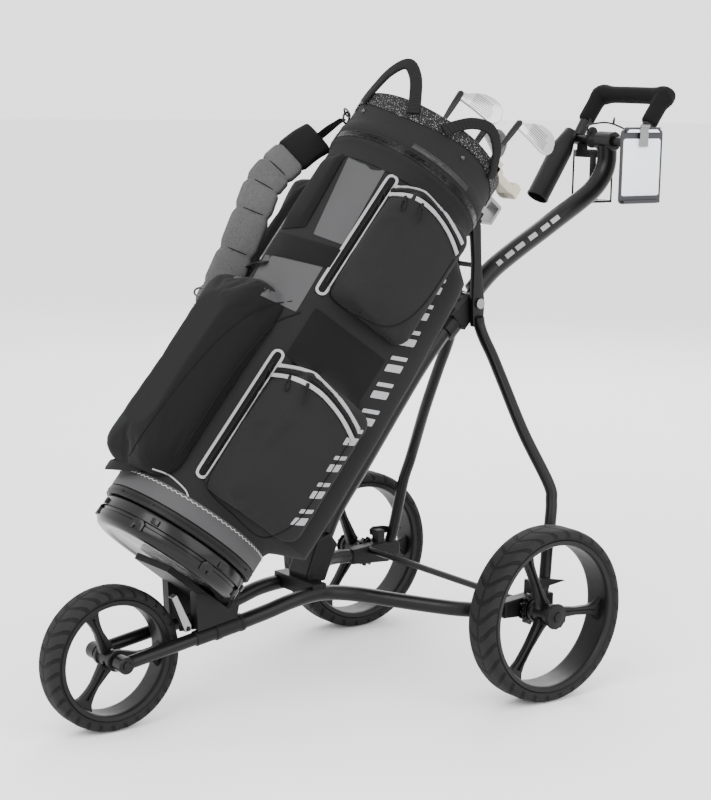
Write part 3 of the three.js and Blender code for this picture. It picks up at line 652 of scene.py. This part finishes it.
def outlineReach(points, angle):
    direction = Vector((abs(math.cos(angle)), math.sin(angle)))
    best = 0
    for a, b in zip(points, points[1:] + [(0, points[-1][1])]):
        edge = Vector(b) - Vector(a)
        down = direction.x * edge.y - direction.y * edge.x
        if abs(down) < 1e-9:
            continue
        along = (a[0] * edge.y - a[1] * edge.x) / down
        share = (a[0] * direction.y - a[1] * direction.x) / down
        if along > 0 and -1e-6 <= share <= 1 + 1e-6:
            best = max(best, along)
    return best


shape = bmesh.new()
levels = [bagSize["low"], 90, 102, 108, 116, *range(140, 660, 20), 662, 670, 676, 684, bagSize["high"]]
ring = bmesh.ops.create_circle(shape, cap_ends=False, radius=1, segments=bagSize["around"])["verts"]
rest = [vert.co.copy() for vert in ring]
edges = list(shape.edges)


def shapeRing(verts, level):
    share = min(max((level - bagSize["skinLow"]) / bagSize["skinTall"], 0), 1)
    outline = skinOutline(share)
    rising = min(max((level - bagSize["fadeFrom"]) / 22, 0), 1)
    fade = rising * min(max((bagSize["fadeTo"] - level) / 60, 0), 1)
    fade = fade * fade * (3 - 2 * fade)
    for vert, seed in zip(verts, rest):
        angle = math.atan2(seed.y, seed.x)
        reach = max(outlineReach(outline, angle), bagSize["core"])
        crease = bagSize["crease"] * math.sin(5 * angle + level * 0.03) * math.sin(level * 0.021 + 2 * angle)
        reach = bagSize["core"] + (reach - bagSize["core"]) * fade + crease * fade
        vert.co = Vector((reach * math.cos(angle), reach * math.sin(angle), level))


shapeRing(ring, levels[0])
firstEdges = list(edges)
for level in levels[1:]:
    found, edges = grow(shape, edges)
    found = set(found)
    ring = [next(edge.other_vert(vert) for edge in vert.link_edges if edge.other_vert(vert) in found)
            for vert in ring]
    shapeRing(ring, level)
inner, innerEdges = grow(shape, edges)
for vert in inner:
    flat = Vector((vert.co.x, vert.co.y, 0)).normalized() * bagSize["liner"]
    vert.co = Vector((flat.x, flat.y, bagSize["high"]))
bottom, bottomEdges = grow(shape, innerEdges)
bmesh.ops.translate(shape, verts=bottom, vec=(0, 0, bagSize["low"] - bagSize["high"]))
bmesh.ops.bridge_loops(shape, edges=bottomEdges + firstEdges)
bagShell = settle("bag_shell", shape, "charcoalNylon", "bag", bagPlace, ("bag_body",), sharp=60)
print("bag shell made")


def surfaceOf(*pieces):
    verts, faces = [], []
    for piece in pieces:
        start = len(verts)
        verts += [vert.co.copy() for vert in piece.data.vertices]
        faces += [[start + index for index in face.vertices] for face in piece.data.polygons]
    return BVHTree.FromPolygons(verts, faces)


# Stuffed pockets: remeshed, swollen by air pressure with their backs sewn down
pocketAir = {"voxel": 0.0055, "pressure": 3.5, "frames": 20, "reach": 0.009, "smaller": 0.0015, "sewnWithin": 0.012,
             "fill": 0.7}


def finishPocket(piece, node, material):
    mesh = piece.data
    mesh.polygons.foreach_set("use_smooth", [True] * len(mesh.polygons))
    mesh.materials.append(material)
    rounder = piece.modifiers.new("rounder", "SUBSURF")
    rounder.levels = rounder.render_levels = 1
    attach(piece, "bag")
    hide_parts(node)
    return piece


def stuffed(name, node, material, sewn):
    shape = bmesh.new()
    shape.from_mesh(nodes[node].data)
    bmesh.ops.remove_doubles(shape, verts=shape.verts, dist=1e-5)
    bmesh.ops.recalc_face_normals(shape, faces=shape.faces)
    shape.normal_update()
    for vert in shape.verts:
        vert.co -= vert.normal * pocketAir["smaller"]
    mesh = bpy.data.meshes.new(name)
    shape.to_mesh(mesh)
    shape.free()
    piece = bpy.data.objects.new(name, mesh)
    scene.collection.objects.link(piece)
    voxels = piece.modifiers.new("voxels", "REMESH")
    voxels.mode = "VOXEL"
    voxels.voxel_size = pocketAir["voxel"]
    ready = bpy.data.meshes.new_from_object(piece.evaluated_get(bpy.context.evaluated_depsgraph_get()))
    piece.modifiers.clear()
    piece.data = ready
    ready.name = name
    start = [vert.co.copy() for vert in ready.vertices]
    group = piece.vertex_groups.new(name="sewn")
    group.add([i for i, spot in enumerate(start) if sewn.find_nearest(spot)[3] < pocketAir["sewnWithin"]], 1.0,
              "REPLACE")
    cloth = piece.modifiers.new("air", "CLOTH")
    cloth.settings.use_pressure = True
    cloth.settings.uniform_pressure_force = pocketAir["pressure"]
    cloth.settings.effector_weights.gravity = 0
    cloth.settings.vertex_group_mass = "sewn"
    cloth.point_cache.frame_start = 1
    cloth.point_cache.frame_end = pocketAir["frames"]
    for step in range(1, pocketAir["frames"] + 1):
        scene.frame_set(step)
    swollen = piece.evaluated_get(bpy.context.evaluated_depsgraph_get()).data
    moved = [vert.co.copy() for vert in swollen.vertices]
    piece.modifiers.clear()
    for vert, before, after in zip(ready.vertices, start, moved):
        shift = after - before
        vert.co = before + shift * min(1, pocketAir["reach"] / max(shift.length, 1e-9))
    scene.frame_set(1)
    piece.vertex_groups.clear()
    ready.materials.clear()
    return finishPocket(piece, node, finishes[material])


def otherSide(piece, name, node):
    shape = bmesh.new()
    shape.from_mesh(piece.data)
    bmesh.ops.transform(shape, verts=shape.verts, matrix=Matrix.Scale(-1, 4, (1, 0, 0)))
    bmesh.ops.reverse_faces(shape, faces=shape.faces)
    mesh = bpy.data.meshes.new(name)
    shape.to_mesh(mesh)
    shape.free()
    copy = bpy.data.objects.new(name, mesh)
    scene.collection.objects.link(copy)
    return finishPocket(copy, node, piece.data.materials[0])


shellSurface = surfaceOf(bagShell)
lowerPocket = stuffed("lower_pocket_near", "lower_pocket_left", "charcoalNylon", shellSurface)
upperPocket = stuffed("upper_pocket_near", "upper_pocket_left", "charcoalNylon", shellSurface)
ballPocket = stuffed("front_ball_pocket", "ball_pocket", "bagNylon", shellSurface)
lowerFar = otherSide(lowerPocket, "lower_pocket_far", "lower_pocket_right")
upperFar = otherSide(upperPocket, "upper_pocket_far", "upper_pocket_right")
bagSurface = surfaceOf(bagShell, lowerPocket, upperPocket, ballPocket, lowerFar, upperFar)
print("pockets made")


# Trims laid on the bag. Spots are (aside, towards the back, up the bag) in millimetres.
def onSurface(spot, lift=0.0, asSeen=True):
    x, n, s = spot
    eye = camera.matrix_world.translation
    seen = bagPlace @ Vector(spot)
    hit, normal = bagSurface.ray_cast(eye, (seen - eye).normalized())[:2]
    if asSeen and hit is not None and (hit - seen).length < 0.08 and abs(normal.dot((seen - eye).normalized())) > 0.12:
        outward = (eye - seen).normalized()
        if normal.dot(outward) < 0:
            normal = -normal
        return hit + normal * lift * 0.001, normal
    outside = bagPlace @ Vector((x * 1.7, n * 1.7, s))
    inside = bagPlace @ Vector((x * 0.2, n * 0.2, s))
    hit, normal = bagSurface.ray_cast(outside, (inside - outside).normalized())[:2]
    if hit is None:
        return bagPlace @ Vector(spot), (outside - inside).normalized()
    outward = (outside - inside).normalized()
    if normal.dot(outward) < 0:
        normal = -normal
    return hit + normal * lift * 0.001, (normal + outward * 0.35).normalized()


def ribbon(name, route, width, material, lift=0.6, thick=0.7, steps=8, closed=False, evening=2,
           asSeen=True):
    line = smoothPath(route + ([route[0]] if closed else []), steps)
    laid = [onSurface(spot, lift, asSeen) for spot in line]
    path = [spot for spot, normal in laid]
    for _ in range(evening):
        path[1:-1] = [b * 0.5 + (a + c) * 0.25 for a, b, c in zip(path, path[1:], path[2:])]
    across = []
    for i, (spot, normal) in enumerate(laid):
        ahead = path[min(i + 1, len(path) - 1)] - path[max(i - 1, 0)]
        across.append(ahead.cross(normal).normalized())
    shape = bmesh.new()
    sweep(shape, path, width * 0.0005, thick * 0.0005, sides=8, side=across, squareness=0.8)
    return settle(name, shape, material, "bag", Matrix.Identity(4), sharp=50)


def patch(name, corners, material, lift=0.8, rise=0.0, cells=(14, 22), asSeen=True):
    # a panel between four corners: low left, low right, high right, high left
    shape = bmesh.new()
    bmesh.ops.create_grid(shape, x_segments=cells[0], y_segments=cells[1], size=1)
    a, b, c, d = (Vector(corner) for corner in corners)
    for vert in shape.verts:
        u, v = (vert.co.x + 1) / 2, (vert.co.y + 1) / 2
        spot = (a * (1 - u) + b * u) * (1 - v) + (d * (1 - u) + c * u) * v
        crown = min(1, 4.5 * min(u, 1 - u)) * min(1, 6 * min(v, 1 - v))
        crown = crown * (2 - crown)
        vert.co = onSurface(spot, lift + rise * crown, asSeen)[0]
    for _ in range(2):
        bmesh.ops.smooth_vert(shape, verts=shape.verts, factor=0.4, use_axis_x=True, use_axis_y=True,
                              use_axis_z=True)
    bmesh.ops.solidify(shape, geom=shape.faces, thickness=0.0009)
    return settle(name, shape, material, "bag", Matrix.Identity(4), sharp=50)


def cordLoop(name, spot, length, material="webbing"):
    # a zip slider with its knotted pull
    base, normal = onSurface(spot, 2.2)
    down = (bagPlace.to_3x3() @ Vector((0.3, 0.2, -1))).normalized()
    across = down.cross(normal).normalized()
    reach = length * 0.001
    path = []
    for i in range(25):
        turn = 2 * math.pi * i / 24
        wide = 0.0055 * math.sin(turn) * (0.4 + 0.6 * (1 - math.cos(turn)) / 2)
        fall = down * reach * (1 - math.cos(turn)) / 2
        path.append(base + fall + across * wide + normal * 0.0015 * math.sin(turn / 2))
    shape = bmesh.new()
    sweep(shape, path, 0.0011, sides=10)
    sweep(shape, [base - down * 0.004, base, base + down * 0.006], 0.0032, 0.0016, sides=10,
          side=across, scales=[0.8, 1, 0.7])
    settle(name, shape, material, "bag", Matrix.Identity(4))


patch("grey_panel_upper", [(44, -122, 552), (90, -92, 557), (84, -99, 728), (12, -129, 721)], "greyNylon")
patch("grey_panel_lower", [(-20, -130, 432), (88, -96, 425), (86, -98, 516), (-45, -122, 505)], "greyNylon")
patch("cross_band", [(-52, -118, 508), (92, -90, 514), (92, -90, 552), (-50, -119, 552)], "bagNylon", 1.6, 1.0)
patch("small_pocket", [(-56, -116, 556), (24, -127, 560), (10, -129, 716), (-58, -115, 712)], "bagNylon", 1.4, 9)
patch("lower_flap", [(98, -80, 356), (140, 60, 352), (140, 60, 452), (98, -80, 452)], "bagNylon", 0.9, 0.0,
      (20, 10))

zips = {"upper": {"at": (97, -86), "low": 468, "high": 702}, "lower": {"at": (96, -88), "low": 124, "high": 362}}
for name, spec in zips.items():
    x, n = spec["at"]
    aside = Vector((-n, x, 0)).normalized() * 8.5
    middle = [(x, n, spec["low"] + (spec["high"] - spec["low"]) * t / 10) for t in range(11)]
    left = [(x - aside.x, n - aside.y, s) for _, _, s in middle[1:-1]]
    rightSide = [(x + aside.x, n + aside.y, s) for _, _, s in middle[1:-1]]
    arc = [(x + aside.x * math.cos(a), n + aside.y * math.cos(a), spec["high"] - 12 + 9 * math.sin(a))
           for a in (0.4, 1.1, 1.57, 2.04, 2.74)]
    base = [(x - aside.x * math.cos(a), n - aside.y * math.cos(a), spec["low"] + 12 - 9 * math.sin(a))
            for a in (0.4, 1.1, 1.57, 2.04, 2.74)]
    ribbon(name + "_zip_tape", middle, 15, "bagNylon", 0.5, 0.6)
    ribbon(name + "_zip_edge", rightSide + arc + left[::-1] + base, 4.6, "silverTape", 1.2, 0.8, 5, closed=True)
    ribbon(name + "_zip_teeth", middle[1:-1], 3.4, "webbing", 1.6, 1.6)
    cordLoop(name + "_zip_pull", (x, n, spec["high"] - 34), 34)
arcs = {"upper": [(104, -79, 674), (116, -58, 678), (138, -40, 680), (160, -22, 678), (170, 4, 672),
                  (172, 40, 658)],
        "lower": [(104, -79, 326), (118, -60, 330), (144, -44, 332), (174, -30, 330), (186, 4, 324),
                  (186, 46, 310)]}
for name, route in arcs.items():
    for label, shift, width, finish in (("high", 9.5, 7.5, "silverTape"), ("low", -9.5, 7.5, "silverTape"),
                                        ("zip", 0, 9, "bagNylon"), ("teeth", 0, 3.2, "webbing")):
        lift = {"zip": 2.0, "teeth": 2.9}.get(label, 2.4)
        ribbon(f"{name}_arc_{label}", [(x, n, s + shift) for x, n, s in route], width, finish, lift, 1.6,
               evening=10,
               asSeen=False)
    x, n, s = route[2]
    cordLoop(name + "_arc_pull", (x, n, s), 30)
    cordLoop(name + "_arc_pull_end", (route[1][0], route[1][1], route[1][2]), 22)

stripes = {"count": 10, "start": 136, "pitch": 49, "thick": (15, 8)}
for i in range(stripes["count"]):
    s = stripes["start"] + i * stripes["pitch"]
    x, low, high = (186, 32, 60) if s < 325 else (166, 64, 92)
    for j, width in enumerate(stripes["thick"]):
        base = s + j * 22
        patch(f"stripe_{i}_{j}", [(x, low, base), (x, high, base + 14), (x, high, base + 14 + width),
                                  (x, low, base + width)],
              "silverTape", 0.6, 0.0, (8, 4), asSeen=False)
print("bag trims made")


def piping(name, route, radius=1.3, material="silverTape", lift=0.8, steps=8):
    path = [onSurface(spot, lift)[0] for spot in smoothPath(route, steps)]
    shape = bmesh.new()
    sweep(shape, path, radius * 0.001, sides=8)
    settle(name, shape, material, "bag", Matrix.Identity(4))


piping("front_piping", [(-66, -112, 700), (-72, -108, 640), (-72, -108, 560), (-64, -112, 500)])
piping("base_piping", [(96, -86, 92), (88, -95, 99), (60, -114, 106), (30, -126, 104)])
piping("ball_seam_high", [(72, -104, 440), (60, -140, 400), (44, -160, 330), (30, -168, 240), (20, -168, 150),
                          (16, -164, 100)],
       1.0, "bagNylon", 0.4)
piping("ball_seam_side", [(90, -92, 430), (84, -120, 380), (80, -130, 280), (80, -130, 180), (76, -128, 104)], 1.4,
       "bagNylon", 0.6)
seams = {"lower": [(104, -80, 330), (103, -80, 200), (104, -78, 134), (112, -67, 114), (146, -30, 103),
                   (176, 0, 95),
                   (185, 22, 108), (185, 46, 150), (185, 50, 220), (185, 50, 296)],
         "upper": [(104, -79, 676), (104, -79, 560), (105, -77, 488), (112, -66, 472), (130, -24, 476),
                   (158, 10, 484),
                   (172, 28, 510), (172, 42, 560), (172, 44, 640)]}
for name, route in seams.items():
    piping(name + "_pocket_seam", route, 1.2, "bagNylon", 0.5)
bandShape = bmesh.new()
lathe(bandShape, [(128.6, 62.4), (130.6, 62.4), (131.2, 66), (130.9, 84), (130.2, 92), (128.6, 92)], (0, 0, 0), "Z",
      128)
settle("foot_band", bandShape, "greyNylon", "bag", bagPlace)
shape = bmesh.new()
path = []
for i in range(361):
    turn = math.radians(i)
    path.append(Vector((131.8 * math.cos(turn), 131.8 * math.sin(turn), 88 + 1.3 * math.sin(turn * 90))))
sweep(shape, path, 0.35, sides=6)
settle("band_stitch", shape, "stitching", "bag", bagPlace)

# Foot tray and trim ring
shape = bmesh.new()
tray = [(0, 3), (94, 3), (97, 2), (100, 0.4), (113, 0.2), (119, 2.5), (124, 9), (125.4, 14), (125.4, 20),
        (123.6, 21.5),
        (123.6, 26), (126.4, 27.5), (126.4, 40), (125, 44), (122, 45.8), (0, 45.8)]
lathe(shape, tray, (0, 0, 0), "Z", 128)
for turn in (-62, -118, -4, 42, 138, 184):
    place = Matrix.Rotation(math.radians(turn), 4, "Z")
    plate(shape, [(-11, 10), (-11, 22), (-6, 27), (6, 27), (11, 22), (11, 10), (5, 10), (5, 15), (-5, 15),
                  (-5, 10)],
          123, 128.2, 1.0, place)
    plate(shape, [(16, 29), (30, 29), (30, 38), (16, 38)], 123, 127.6, 0.8, place)
settle("tray_moulding", shape, "glossMoulding", "bag", bagPlace, ("base_tray",))
shape = bmesh.new()
lathe(shape, [(112.4, 46.5), (129.5, 46.5), (131.4, 48), (131.4, 52.5), (130.4, 53.4), (130.4, 55), (131.4, 56),
              (131.4, 60),
              (130, 61.5), (112.4, 61.5)], (0, 0, 0), "Z", 128)
for turn in range(-90, 270, 30):
    place = Matrix.Rotation(math.radians(turn),
                            4, "Z") @ Matrix.Translation((131.3, 0, 54.2)) @ Matrix.Rotation(math.pi / 2, 4, "Y")
    bmesh.ops.create_cone(shape, cap_ends=True, segments=16, radius1=2.6, radius2=1.9, depth=1.4, matrix=place)
settle("trim_ring", shape, "moulding", "bag", bagPlace, ("base_ring",))

# Collar with its dividers, stripe, rivets and speckled rim
shape = bmesh.new()
collar = [(117.5, 700.6), (130.6, 700.6), (131.4, 704), (131.4, 722), (134, 727), (136.4, 731), (136.4, 748),
          (135.4, 749.4),
          (135.4, 751), (136.4, 752.4), (136.4, 765), (134.5, 770), (133, 776), (132.6, 800), (131.4, 822),
          (128, 826),
          (122, 826), (118.2, 823)]
lathe(shape, collar, (0, 0, 0), "Z", 144)
for x, n, wide, deep in ((0, -39, 119, 3), (0, 39, 119, 3), (0, 0, 3, 119)):
    made = bmesh.ops.create_cube(shape, size=2)["verts"]
    bmesh.ops.transform(shape, verts=made,
                        matrix=Matrix.Translation((x, n, 794)) @ Matrix.Diagonal((wide, deep, 18, 1)))
settle("collar_ring", shape, "charcoalNylon", "bag", bagPlace, ("collar",))


def wrapped(name, start, stop, low, high, reach, material, wave=0.0, ripples=3):
    # a band round the collar between two angles; its lower edge may be scalloped
    shape = bmesh.new()
    bmesh.ops.create_grid(shape, x_segments=max(8, int(abs(stop - start) / 2.5)), y_segments=6, size=1)
    for vert in shape.verts:
        u, v = (vert.co.x + 1) / 2, (vert.co.y + 1) / 2
        turn = math.radians(start + (stop - start) * u)
        bottom = low + wave * math.cos(ripples * turn)
        vert.co = Vector((reach * math.cos(turn), reach * math.sin(turn), bottom + (high - bottom) * v))
    if abs(stop - start) == 360:
        bmesh.ops.remove_doubles(shape, verts=shape.verts, dist=0.001)
    bmesh.ops.solidify(shape, geom=shape.faces, thickness=1.0)
    settle(name, shape, material, "bag", bagPlace)


wrapped("speckled_rim", 0, 360, 802, 826.5, 134.2, "sparkleTrim", 7, 3)
wrapped("collar_stripe", -42, 8, 754, 762, 137.3, "greyNylon")
wrapped("collar_gloss_band", -150, 60, 737, 747, 137.4, "glossMoulding")
shape = bmesh.new()
path = [Vector((126.5 * math.cos(math.radians(a)), 126.5 * math.sin(math.radians(a)),
                826 + 2.2 * math.cos(math.radians(3 * a))))
        for a in range(0, 361, 4)]
sweep(shape, path, 6.2, 3.4, sides=12, side=[Vector((p.x, p.y, 0)).normalized() for p in path])
settle("rim_roll", shape, "sparkleTrim", "bag", bagPlace)
for i, (turn, height) in enumerate(((-96, 790), (-62, 797), (-8, 792), (-112, 800), (60, 795), (150, 795))):
    place = bagPlace @ Matrix.Rotation(math.radians(turn), 4, "Z") @ Matrix.Translation((133, 0, height))
    shape = bmesh.new()
    lathe(shape, [(0, 0), (4.2, 0), (4.2, 1.0), (3.0, 2.4), (0, 2.8)], (0, 0, 0), "X", 24)
    settle(f"rivet_{i}", shape, "darkSteel", "bag", place)

# Carrying loops
loops = {"front_loop": (-102, -54, 806, 884, 10.5), "side_loop": (-30, 23, 806, 858, 9.5)}
for name, (start, stop, low, high, wide) in loops.items():
    spots = []
    for share, reach, rise in zip((0, 0.08, 0.26, 0.5, 0.74, 0.92, 1), (137, 138, 140, 141, 140, 138, 137),
                                  (0, 26, 68, 90, 68, 26, 0)):
        turn = math.radians(start + (stop - start) * share)
        spots.append((reach * math.cos(turn), reach * math.sin(turn), low + (high - low) * rise / 90))
    path = smoothPath(spots, 8)
    shape = bmesh.new()
    sweep(shape, path, 3.2, wide, sides=16, side=[Vector((p.x, p.y, 0)).normalized() for p in path], squareness=0.5)
    settle(name + "_webbing", shape, "webbing", "bag", bagPlace, (name,))

# Shoulder strap: a run of stuffed mesh puffs under a plain black end
strapAngle = math.radians(-120)
strapOut = Vector((math.cos(strapAngle), math.sin(strapAngle), 0))
strapAside = Vector((strapOut.y, -strapOut.x, 0))
strapSpots = [(160, 48, 742), (170, 36, 716), (178, 25, 686), (187, 20, 650), (191, 20, 612), (181, 24, 563),
              (166, 46, 494),
              (155, 68, 431), (149, 77, 392)]
strapLine = smoothPath([strapOut * out + strapAside * aside + Vector((0, 0, s)) for out, aside, s in strapSpots],
                       16)
creases = {"first": 0.27, "step": 0.118, "depth": 0.13, "sharp": 0.012}


def puffScale(share):
    nearest = min(abs(share - creases["first"] - i * creases["step"]) for i in range(7))
    return 1 - creases["depth"] * math.exp(-(nearest / creases["sharp"]) ** 2) - 0.5 * max(0,
                                                                                           share - 0.93) / 0.07 * 0.5


cutAt = int(len(strapLine) * creases["first"])
for name, run, material, base in (("strap_end", strapLine[:cutAt + 1], "bagNylon", 0),
                                  ("strap_puffs", strapLine[cutAt:], "strapMesh", cutAt)):
    scales = [puffScale((base + i) / (len(strapLine) - 1)) for i in range(len(run))]
    shape = bmesh.new()
    sweep(shape, run, 32, 12, sides=32, side=strapOut, scales=scales, squareness=0.5)
    if name == "strap_puffs":
        strap = settle(name, shape, material, "bag", bagPlace, ("shoulder_strap",), sharp=70,
                       subdivide=1)
    else:
        strap = settle(name, shape, material, "bag", bagPlace, sharp=70, subdivide=1)


for name, hand in (("strap_edge_in", -1), ("strap_edge_out", 1)):
    edge = []
    for i, spot in enumerate(strapLine):
        ahead = (strapLine[min(i + 1, len(strapLine) - 1)] - strapLine[max(i - 1, 0)]).normalized()
        wide = (strapOut - ahead * strapOut.dot(ahead)).normalized()
        edge.append(spot + wide * hand * 29.5 * puffScale(i / (len(strapLine) - 1)))
    shape = bmesh.new()
    sweep(shape, edge, 1.8, sides=8)
    settle(name, shape, "webbing", "bag", bagPlace)
for i in range(7):
    share = creases["first"] + i * creases["step"]
    at = min(int(share * (len(strapLine) - 1)), len(strapLine) - 2)
    ahead = (strapLine[at + 1] - strapLine[at]).normalized()
    wide = (strapOut - ahead * strapOut.dot(ahead)).normalized()
    high = ahead.cross(wide)
    band = [strapLine[at] + wide * 29 * math.cos(turn) + high * 11.6 * math.sin(turn) for turn in
            [math.radians(angle) for angle in range(0, 361, 12)]]
    shape = bmesh.new()
    sweep(shape, band, 0.9, sides=6)
    settle(f"strap_crease_{i}", shape, "webbing", "bag", bagPlace)


def hoop(name, centre, normal, radius, wire, material="darkSteel"):
    turn = Vector(normal).normalized().to_track_quat("Z", "Y").to_matrix().to_4x4()
    place = bagPlace @ Matrix.Translation(centre) @ turn
    shape = bmesh.new()
    lathe(shape, [(radius + wire * math.cos(a * math.pi / 6), wire * math.sin(a * math.pi / 6)) for a in range(12)],
          (0, 0, 0), "Z", 40)
    settle(name, shape, material, "bag", place)


def tether(name, spots, width=9, thick=1.4, side=None):
    shape = bmesh.new()
    sweep(shape, smoothPath(spots, 8), width, thick, sides=10, side=side or Vector((0.5, 0.5, 0.7)), squareness=0.6)
    settle(name, shape, "webbing", "bag", bagPlace)


top = strapLine[0]
collarSpot = Vector((137 * math.cos(math.radians(-112)), 137 * math.sin(math.radians(-112)), 786))
tether("strap_webbing_high", [top, top.lerp(collarSpot, 0.4) + Vector((0, 0, 6)),
                              top.lerp(collarSpot, 0.72) + Vector((0, 0, 4))])
hoop("strap_snap_ring", top.lerp(collarSpot, 0.86), (0.9, 0.3, 0.2), 9, 1.9)
hoop("collar_ring_low", collarSpot + Vector((-3, -6, -2)), (0.2, 0.4, 1), 8, 1.6)
foot = strapLine[-1]
ringSpot = onSurface((-68, -118, 476), 7)[0]
ringSpot = bagPlace.inverted() @ ringSpot
tether("strap_webbing_low", [foot, foot.lerp(ringSpot, 0.5) + Vector((0, -6, 4)), ringSpot], 6, 1.2)
hoop("strap_ring", ringSpot, (0.8, -0.5, 0.3), 10, 2.4, "satinZinc")
tether("ring_webbing", [ringSpot, Vector((-42, -128, 484)), Vector((-10, -132, 486))], 6, 1.2)
hoop("pocket_ring", bagPlace.inverted() @ onSurface((-52, -140, 392), 3)[0], (0.5, -0.8, 0.3), 9, 1.6)
tether("foot_handle", [(-96, -100, 104), (-92, -118, 92), (-70, -136, 84), (-36, -146, 84), (0, -146, 90),
                       (22, -138, 100)], 9, 1.6,
       Vector((0, 0, 1)))
print("bag fittings made")

# Clubs
clubs = {
    "iron_one": {"foot": (-20, 12, 58), "tip": (-20, 12, 944), "turn": 1.1, "metal": "chrome"},
    "iron_two": {"foot": (24, 20, 58), "tip": (24, 116, 966), "turn": 1.4, "metal": "chrome"},
    "iron_three": {"foot": (-40, 60, 58), "tip": (-40, 108, 945), "turn": 1.9, "metal": "satinZinc"},
    "putter": {"foot": (56, 50, 58), "tip": (50, 80, 832), "turn": 0, "metal": "headAlloy"},
}
blade = [(-5.5, -8), (4, -11.5), (30, -11.8), (63, -14.6), (72, -13), (78, -8.5), (81.4, -2), (81.4, 4), (78, 15),
         (74, 20), (68, 24),
         (60, 26.4), (52, 26.8), (38, 25), (26, 19), (16, 12), (8, 5.5), (-5, 4)]
for name, club in clubs.items():
    foot, tip = Vector(club["foot"]), Vector(club["tip"])
    line = tip - foot
    shape = bmesh.new()
    sweep(shape, [foot + line * t for t in (0, 0.004, 0.28, 0.29)], 1, sides=24, scales=[10, 13, 9, 8])
    settle(name + "_grip", shape, "gripFoam", name, bagPlace)
    shape = bmesh.new()
    marks = [(0.285, 4.9), (0.7, 4.6), (0.701, 4.3), (0.86, 4.1), (0.861, 3.8), (0.985, 3.7)]
    sweep(shape, [foot + line * t for t, r in marks], 1, sides=24, scales=[r for t, r in marks])
    settle(name + "_shaft", shape, "darkSteel", name, bagPlace, (name,))
    shape = bmesh.new()
    start = 1 - 34 / line.length
    collarMarks = [(start - 0.02, 4.2), (start, 5.2), (start + 0.012, 5.6), (1.0, 6.0), (1.004, 4.0)]
    sweep(shape, [foot + line * t for t, r in collarMarks], 1, sides=24, scales=[r for t, r in collarMarks])
    settle(name + "_ferrule", shape, "glossMoulding", name, bagPlace)
    place = Matrix.Translation(tip) @ Matrix.Rotation(club["turn"] - math.pi / 2, 4, "Z")
    if name != "putter":
        shape = bmesh.new()
        plate(shape, blade, -3.4, 3.4, 1.6, place)
        settle(name + "_head", shape, club["metal"], name, bagPlace)
        shape = bmesh.new()
        for i in range(8):
            height = -9 + i * 3.4
            wide = 64 if i < 5 else 58
            for face in (-1, 1):
                low, high = sorted((face * 3.35, face * 3.55))
                plate(shape, [(22, height), (wide, height), (wide, height + 0.9), (22, height + 0.9)], low, high, 0,
                      place)
        settle(name + "_score_lines", shape, "darkSteel", name, bagPlace)
    else:
        shape = bmesh.new()
        lay = Matrix.Translation(tip) @ Matrix(((0, 1, 0, 0), (0, 0, 1, 0), (1, 0, 0, 0), (0, 0, 0, 1)))
        body = [(-8, -8), (46, -8), (46, 8), (42, 14), (34, 20), (34, 46), (40, 56), (40, 66), (34, 70), (4, 70),
                (-2, 66), (-2, 56),
                (4, 46), (4, 20), (-4, 14), (-8, 8)]
        plate(shape, body, 0, 15, 1.6, lay)
        plate(shape, [(-8, -8), (46, -8), (46, 4), (-8, 4)], 0, 24, 2.0, lay)
        plate(shape, [(4, 50), (34, 50), (40, 58), (34, 70), (4, 70), (-2, 58)], 0, 22, 2.0, lay)
        plate(shape, [(16, 6), (22, 6), (22, 52), (16, 52)], 14, 18, 0.8, lay)
        settle("putter_head", shape, "headAlloy", name, bagPlace)
print("clubs made")
